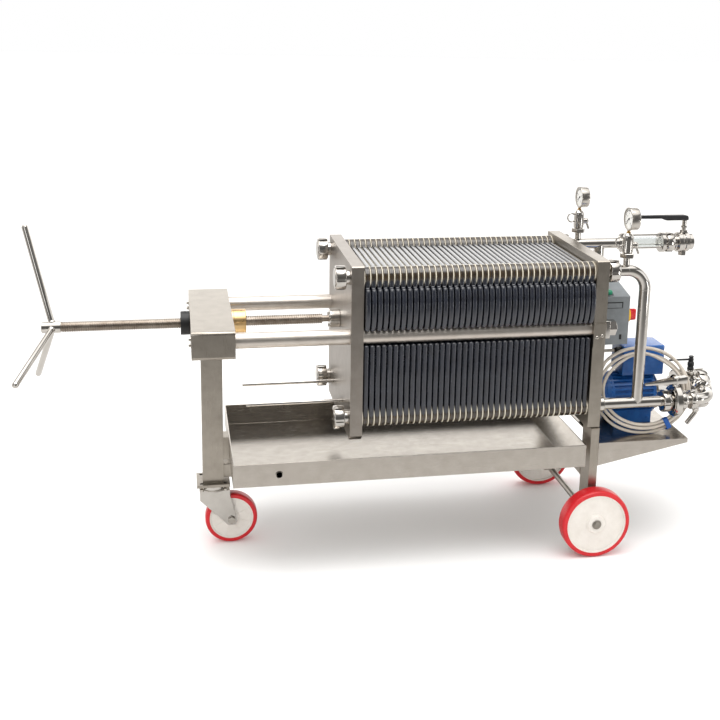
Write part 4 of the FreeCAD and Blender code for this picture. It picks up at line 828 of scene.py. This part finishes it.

# -------- control box
# thin black strips on the box's front stand for its grooves: painted shade where the recesses are
dark = Shape()
dark.block((607, -110.5, 703.4), (659, -109.6, 706.4), 0.3)
dark.block((656, -110.5, 690), (659, -109.6, 706.4), 0.3)
dark.block((607, -110.4, 688), (659, -109.6, 689.4), 0.2)
dark.block((653, -110.5, 595), (660, -109.6, 610), 0.3)
piece("painted_groove_shade", dark, "print_and_shade_black")
seam = Shape()
seam.block((678.6, -108.5, 583), (680, 78.5, 586), 0.4)
seam.block((678.8, -107, 700), (680, 78, 701.6), 0.3)
piece("box_seams", seam, "box_shadow")
disc_plate = Shape()
disc_plate.lathe([(22, 0), (22, 5), (21.2, 6.8), (19.6, 7.8), (15.5, 8), (15.2, 7.2), (0.01, 7.2)],
                 (679.4, -86, 662), 72)
piece("switch_base", disc_plate, "yellow_plastic", "switch_plate")
knob = Shape()
knob.lathe([(14, 0), (14, 7.2), (13, 9.2), (11, 10)], (687.7, -86, 662), 64)
edge = [(-6, -12), (-4.6, -15.5), (-1.8, -17), (1.8, -17), (4.6, -15.5), (6, -12)]
knob.stretch(edge + [(-y, -z) for y, z in edge],
             [(0.2, 0), (17, 0.3), (20, 0.8), (21.4, 2), (22, 3.4)], (687.7, -86, 662))
piece("knob", knob, "red_plastic", "switch_knob", "switch")
white = Shape()
white.block((709.5, -86.6, 672), (710.1, -85.4, 676.5), 0.2)
piece("knob_mark", white, "dial_white", body="switch")

PRESS = Vector((0, 0.225304, -0.974288))
SEAT = Vector((619.4, -92, 726.16))
button = Shape()
button.lathe([(5, -14), (5, 0), (10.6, 0), (11, 0.6), (11, 4.4), (10.2, 6.6), (8.2, 8.2), (5, 8.9),
              (0.01, 9)], SEAT - PRESS * 3.3, 56, axis=-PRESS)
piece("button_cap", button, "green_plastic", "start_button", "button")
bezel = Shape()
bezel.lathe([(11.6, -1), (15.5, -1), (15.5, 0.4), (14.8, 1.6), (12.4, 2.4), (11.6, 2.2)],
            SEAT, 56, True, -PRESS)
piece("button_bezel", bezel, "box_shadow")

# -------- wheels
TREAD = mirrored([(87, -21.5), (91, -22), (96, -21.3), (98.7, -18.8), (99.7, -15), (100, -9)])
RIM = [(87, 20.6), (84.5, 20.4), (83.6, 18.6), (82.6, 15.6), (79, 14.9), (60, 14.6),
       (34, 14.8), (29.5, 15.4), (27, 17.6), (25.6, 20.4), (24, 21.6), (14.2, 21.8),
       (13.2, 21), (9.2, 21), (9.2, -27.5), (24, -27.5), (25, -26.5), (25, -15.6),
       (27, -15), (82.6, -15.4), (84.5, -20.4), (87, -20.6)]
for side, sign in (("front", -1), ("back", 1)):
    centre, body = (AXLE_X, sign * WHEEL_Y, AXLE_Z), "wheel_" + side
    tread, rim = Shape(), Shape()
    tread.lathe(TREAD, centre, 120, True, "y")
    piece("tread_" + side, tread, "red_tread", body + "_tread", body)
    rim.lathe([(r, sign * along) for r, along in RIM], centre, 120, True, "y")
    ribs(rim, 10, (AXLE_X, sign * (WHEEL_Y - 15.4), AXLE_Z), "Y", (27, -1.3, -0.6), (82, 1.3, 0.7),
         start=0.2, tilt=pi / 2)
    piece("rim_" + side, rim, "cream_rim", body + "_rim", body)
hub = Shape()
hub.lathe(mirrored([(7.4, -275), (8.8, -273.8), (9, -272.8)]), (AXLE_X, 0, AXLE_Z), 48, axis="y")
# radius, bore, thickness, easing and sides of each washer, with its place at either end
for radius, bore, thick, ease, count, *places in (
        (13, 8.2, 1.5, 0.3, 48, -271.9, 270.4), (11.2, 8.2, 1.3, 0.3, 40, -273.2, 271.9),
        (14, 9, 4.2, 0.6, 48, -219.4, 215.2)):
    for y in places:
        hub.bored(radius, bore, (AXLE_X, y, AXLE_Z), thick, ease, count, "y")
piece("axle_ends", hub, "axle_steel", "rear_axle")

tyre, core, pins = Shape(), Shape(), Shape()
tyre.lathe(mirrored([(62, -17.6), (66, -18), (71, -17.2), (73.2, -14.4), (74, -9)]),
           (CASTER_X, 0, CASTER_Z), 104, True, "y")
piece("caster_tyre", tyre, "red_tread", "caster_tread", "caster_wheel")
core.lathe(mirrored([(62, 16.6), (59.5, 16.4), (58.6, 14.4), (57, 13.2), (30, 13), (24, 13.8),
                     (21.5, 16.6), (20, 18.6), (7.2, 18.8)]),
           (CASTER_X, 0, CASTER_Z), 104, True, "y")
for sign in (-1, 1):
    ribs(core, 8, (CASTER_X, sign * 13.2, CASTER_Z), "Y", (22, -1.4, -0.5), (57.5, 1.4, 0.9),
         start=0.3, tilt=-sign * pi / 2)
piece("caster_core", core, "cream_rim", "caster_rim", "caster_wheel")
for nut_y, washer_y in ((-33.6, -28.3), (27.2, 26.9)):
    pins.hexagon(19, (CASTER_X, nut_y, CASTER_Z), 6.4, "y")
    pins.rod(11, (CASTER_X, washer_y, CASTER_Z), 1.4, 0.3, 40, "y")
piece("caster_nuts", pins, "bolt_steel", body="caster")
race, blue = Shape(), Shape()
race.bored(39.5, 20, (LEG_X, 0, 168.2), 3.2, 1, 72, "z")
race.bored(37.4, 20, (LEG_X, 0, 172.2), 3.4, 1, 72, "z")
piece("caster_race", race, "bolt_steel", body="caster")
blue.bored(36.4, 20, (LEG_X, 0, 175.4), 2.2, 0.8, 72, "z")
piece("caster_seal", blue, "seal_blue", body="caster")

# -------- sheet metal details
sheet = Shape()
sheet.lathe([(11, 0), (11, 1), (9, 1.6), (8.2, 1), (8.2, 0)], (-335, -232, 293), 40,
            axis=(0, -1, 0))
sheet.rod(2.4, (526.5, -228, 318), 1, 0.3, 16)
for y in (-229.2, 229.2):
    sheet.block((-456, y - 1.6, 324.2), (525, y + 1.6, 326.3), 0.8)
sheet.block((-458, -230, 324.2), (-454, 230, 326.3), 0.8)
piece("tray_hem", sheet, "tray_steel")
beads = Shape()


def bead_line(a, b, radius=1.6):
    """A row of overlapping weld ripples."""
    a, b = Vector(a), Vector(b)
    steps = max(2, int((b - a).length / 2.2))
    path, sizes = [], []
    for k in range(steps * 2 + 1):
        path.append(a.lerp(b, k / (steps * 2)))
        sizes.append(radius * (1 if k % 2 == 0 else 0.82))
    beads.sweep(path, sizes, 8)


for y in (-29, 29):
    bead_line((-473, y * 0.99, 186), (-473, y * 0.99, 186.51))
for z in (186.3, 616.7):
    for x in (-531, -473):
        bead_line((x, -29, z), (x, 29, z), 1.5)
    for y in (-29, 29):
        bead_line((-531, y, z), (-473, y, z), 1.5)
for y in (-215, 215):
    bead_line((544.4, y, 367.4), (569.4, y, 367.4), 1.4)
for x, y in ((544.4, -150), (544.4, 150), (544, -20), (544, 20), (-472.6, -20), (-472.6, 20)):
    bead_line((x, y, 202.5), (x, y, 242), 1.4)
bead_line((570.2, -215, 322.2), (570.2, 215, 322.2), 1.4)
piece("weld_beads", beads, "weld_steel")

# eased edges on the plate and box work that keeps its own mesh
for node, wide, parts in (("crosshead", 1.4, 2), ("fixed_head", 0.9, 2), ("front_leg", 1.6, 2),
                          ("moving_head_plate", 0.9, 2), ("rear_frame", 1.6, 2),
                          ("tray_supports", 1.4, 2), ("drip_tray", 0.5, 1),
                          ("pump_shelf", 0.8, 2), ("control_box", 3.5, 3), ("caster_fork", 0.9, 2)):
    thing = NODES[node]
    joined = thing.modifiers.new("weld", "WELD")
    joined.merge_threshold = 0.00002
    soft = thing.modifiers.new("eased_edges", "BEVEL")
    soft.width = wide * MM
    soft.segments = parts
    soft.limit_method = "ANGLE"
    soft.angle_limit = radians(38)
    soft.harden_normals = True

# -------- mains lead, coil and plug
COIL = Vector((729.4, -126.6, 442.05))
LEAN = radians(20)
UP, OUT = Vector((0, sin(LEAN), cos(LEAN))), Vector((0, -cos(LEAN), sin(LEAN)))


def strand(turn, wide, tall, layer):
    """A point of the coil at an angle, at a turn's size and layer."""
    a = radians(turn)
    return COIL + Vector((wide * cos(a), 0, 0)) + UP * (tall * sin(a)) + OUT * layer


# each turn lies at its own place in the bundle: across the band, then through its thickness
PLACES = ((-11.5, -2.4), (1, -2.4), (9, 7), (-1, 7), (-11.5, 7))
CHANGES = ((490, 525), (810, 850), (1130, 1170), (1450, 1490))


def bundle_place(turn):
    """Where the cable lies in the bundle after winding so many degrees."""
    place = Vector(PLACES[0])
    for (begin, finish), following in zip(CHANGES, PLACES[1:]):
        share = min(1, max(0, (turn - begin) / (finish - begin)))
        share = share * share * (3 - 2 * share)
        place = place.lerp(Vector(following), share)
    fan = 1 + 0.25 * (1 - cos(radians(turn - 315)))
    return place.x * fan, place.y


def on_bundle(turn, across, layer):
    return strand(turn, (136 - across) * 1.012, (108 - across) * 1.012, layer)


# the places across the band count outwards as minus, as its inset does
GLAND, PLUG = (599.4, -70, 558), Vector((591.4, -94.6, 343.3))
route = [Vector(spot) for spot in (
    GLAND, (599.4, -70, 521), (601.5, -95.9, 490), (597.5, -107.9, 458.2))]
for turn, across, layer in ((180, -5, -10), (190, -7.5, -8), (200, -8.8, -5), (212, -10.5, -3)):
    route.append(on_bundle(turn, across, layer))
for turn in range(227, 1580, 18):
    route.append(on_bundle(turn, *bundle_place(turn)))
for turn, across, layer in ((1595, -17, 6.2), (1611, -17, 1.5), (1628, -17, -5)):
    route.append(on_bundle(turn, across, layer))
route += [Vector(spot) for spot in (
    (581.1, -134.6, 398), (586.4, -137.4, 375.8), (589, -127.4, 355), (591.4, -108.1, 343.3), PLUG)]

curve = bpy.data.curves.new("mains_cable", "CURVE")
curve.dimensions = "3D"
line = curve.splines.new("NURBS")
line.points.add(len(route) - 1)
for point, spot in zip(line.points, route):
    point.co = (*(spot * MM), 1)
line.order_u = 3
line.use_endpoint_u = True
line.resolution_u = 6
curve.bevel_depth = 4.5 * MM
curve.bevel_resolution = 5
curve.use_fill_caps = True
curve.materials.append(LOOK["cable_jacket"])
cable = placed("mains_cable", curve)
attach(cable, "frame")
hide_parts("cable_coil", "cable_lead", "cable_tail")

plug = Shape()
plug.lathe([(5.2, -1), (6.2, 0), (6.2, 3), (7.4, 3.6), (7.4, 6.4), (6.6, 7), (6.6, 9.4), (8.2, 10),
            (8.2, 13), (7.6, 13.6), (7.6, 16), (11, 18), (15, 23), (17.6, 30), (18.6, 38),
            (18.9, 46), (19.6, 48), (20, 50), (20, 64.4), (18.8, 66)], PLUG, 56, axis="y")
ribs(plug, 9, PLUG, "Y", (17.2, 31, -1.5), (19.2, 45, 1.5), 0.7)
plug_thing = piece("plug_grip", plug, "black_collar", "cable_plug")
prongs = Shape()
for x, z in ((-9, 0), (9, 0), (0, 9)):
    prongs.lathe([(2.4, 0), (2.4, 17), (1.8, 18.4), (0.8, 19)],
                 PLUG + Vector((x, 65.8, z)), 20, axis="y")
prong_thing = piece("plug_pins", prongs, "neck_brass")
relief = Shape()
relief.lathe([(8.4, 0), (8.6, 1.2), (7.6, 2), (7.6, 3.4), (8, 4.4), (7.2, 5.2), (7.2, 7),
              (7.6, 8), (6.7, 8.8), (6.7, 11), (7.1, 12), (6.2, 12.8), (6.2, 15.4),
              (6.6, 16.4), (5.7, 17.2), (5.7, 21), (5.2, 22), (4.7, 22.3)],
             (599.4, -70, 559), 40, axis=(0, 0, -1))
piece("strain_relief", relief, "black_collar")

TIE = 298
tie = Shape()
tangent = (on_bundle(TIE + 2, 0, 0) - on_bundle(TIE - 2, 0, 0)).normalized()
middle = on_bundle(TIE, 0, 2.3)
inward = COIL - middle
inward = (inward - tangent * inward.dot(tangent)).normalized()
loop = rounded([(10.3, 4.4), (-12.7, 4.4), (-12.7, -3.4), (10.3, -3.4)], 5.5, 6, 0)
# along the cable, then how far the band's section is drawn in across and through it
bands = [(along, 1 + grow * 0.02, 1 + grow * 0.02) for along, grow in (
    (-7.5, -0.6), (-7.2, 0.2), (-4, 0.5), (4, 0.5), (7.2, 0.2), (7.5, -0.6))]
bands += [(7.3, 0.93, 0.9), (-7.3, 0.93, 0.9)]
rows = [[middle + inward * (x * wide) + OUT * (y * deep) + tangent * along for x, y in loop]
        for along, wide, deep in bands + bands[:1]]
tie.skin(rows, False)
piece("cable_tie", tie, "strap_blue")

# -------- studio
def ramp_of(tree, source, stops):
    """A grey level read from a value, with stops of (position, level)."""
    made = tree.nodes.new("ShaderNodeValToRGB")
    first, last = made.color_ramp.elements
    first.position, last.position = stops[0][0], stops[-1][0]
    for stop, level in ((first, stops[0][1]), (last, stops[-1][1])):
        stop.color = (level, level * 0.985, level * 0.965, 1)
    for position, level in stops[1:-1]:
        made.color_ramp.elements.new(position).color = (level, level * 0.985, level * 0.965, 1)
    tree.links.new(source, made.inputs[0])
    return made.outputs[0]


def mixed(tree, share, low, high):
    made = add(tree, "ShaderNodeMix", data_type="RGBA")
    tree.links.new(share, made.inputs[0])
    for socket, value in ((made.inputs[6], low), (made.inputs[7], high)):
        if isinstance(value, tuple):
            socket.default_value = value
        else:
            tree.links.new(value, socket)
    return made.outputs[2]


def axes(tree, space):
    """The three coordinates of a place or direction, as outputs X, Y and Z."""
    parts = tree.nodes.new("ShaderNodeSeparateXYZ")
    tree.links.new(tree.nodes.new("ShaderNodeTexCoord").outputs[space], parts.inputs[0])
    return parts.outputs


WHITE = (1, 1, 1, 1)
floor_look, tree, shader = blank("studio_floor")
# for glossy rays only, the floor is painted dark at the front and lighter towards the back: a
# painted reflection of a dark room. Other rays see it evenly white.
front = span(tree, axes(tree, "Object")["Y"], 0, 1, -3, -0.9)
tone = ramp_of(tree, front, ((0, 0.12), (0.3, 0.18), (0.8, 0.48), (1, 0.62)))
path = tree.nodes.new("ShaderNodeLightPath")
tree.links.new(mixed(tree, path.outputs["Is Glossy Ray"], (0.98, 0.98, 0.98, 1), tone),
               shader.inputs["Base Color"])
shader.inputs["Roughness"].default_value = 0.85
bpy.ops.mesh.primitive_plane_add(size=60, location=(0, 0, -0.0005))
floor = bpy.context.object
floor.name = "studio_floor"
floor.data.materials.append(floor_look)

world = bpy.data.worlds.new("studio")
bpy.context.scene.world = world
world.use_nodes = True
tree = world.node_tree
tree.nodes.clear()
out = tree.nodes.new("ShaderNodeOutputWorld")
path = tree.nodes.new("ShaderNodeLightPath")
ways = axes(tree, "Generated")
height, depth = (span(tree, ways[name], 0, 1, -1, 1) for name in "ZY")
felt = ramp_of(tree, height, ((0, 0.35), (0.48, 0.45), (0.55, 0.62), (0.72, 0.85), (1, 1.5)))
# the room behind the camera is dark, and the backdrop is bright
round_about = ramp_of(tree, depth, (
    (0, 0.12), (0.25, 0.2), (0.45, 0.45), (0.6, 0.95), (0.8, 1.6), (1, 1.9)))
above = ramp_of(tree, height, ((0.7, 0), (0.75, 1)))
ceiling = ramp_of(tree, height, ((0.74, 0.2), (0.83, 0.22), (0.88, 1.5), (1, 1.8)))
gloss = mixed(tree, above, round_about, ceiling)
through = mixed(tree, path.outputs["Is Transmission Ray"], gloss, WHITE)
level = mixed(tree, path.outputs["Is Diffuse Ray"], through, felt)
seen = mixed(tree, path.outputs["Is Camera Ray"], level, WHITE)
shown = add(tree, "ShaderNodeBackground", Strength=1)
tree.links.new(seen, shown.inputs["Color"])
tree.links.new(shown.outputs[0], out.inputs[0])


def softbox(name, place, target, size, power):
    light = bpy.data.lights.new(name, "AREA")
    light.shape = "RECTANGLE"
    light.size, light.size_y = size
    light.energy = power
    thing = placed(name, light)
    thing.location = place
    way = Vector(target) - Vector(place)
    thing.rotation_mode = "QUATERNION"
    thing.rotation_quaternion = way.to_track_quat("-Z", "Y")
    thing.visible_camera = False


softbox("overhead", (-0.2, -0.3, 3.4), (0, 0, 0.4), (3.6, 2.4), 70)
softbox("front", (-2.2, -2.6, 1.9), (0, 0, 0.6), (0.9, 1.5), 7)
softbox("low_left", (-1.9, -1.9, 0.34), (0.1, -0.2, 0.72), (0.35, 0.6), 3.5)
softbox("low_right", (2.6, -1.9, 0.34), (0.2, -0.2, 0.72), (0.35, 0.6), 4.5)
softbox("right", (3, -1.2, 1.6), (0, 0, 0.5), (1.6, 1.6), 9)

# -------- camera
EYE = Vector((-590.9, -2989.6, 1514.5)) * MM
FOCAL_PX, CENTRE_X, CENTRE_Y, PICTURE = 1111.6, 404.2, 265.1, 720
yaw, pitch, roll = (radians(a) for a in (11.9, 13.1, -1.4))
forward = Vector((sin(yaw) * cos(pitch), cos(yaw) * cos(pitch), -sin(pitch)))
flat_right = Vector((cos(yaw), -sin(yaw), 0))
flat_down = forward.cross(flat_right)
right = flat_right * cos(roll) + flat_down * sin(roll)
down = flat_down * cos(roll) - flat_right * sin(roll)
lens = bpy.data.cameras.new("camera")
lens.sensor_width = 36
lens.lens = FOCAL_PX * 36 / PICTURE
lens.shift_x = 0.5 - CENTRE_X / PICTURE
lens.shift_y = CENTRE_Y / PICTURE - 0.5
camera = placed("camera", lens)
turned = Matrix((right, -down, -forward)).transposed()
camera.rotation_mode = "QUATERNION"
camera.rotation_quaternion = turned.to_quaternion()
camera.location = EYE
bpy.context.scene.camera = camera
bpy.context.scene.view_settings.view_transform = "Standard"
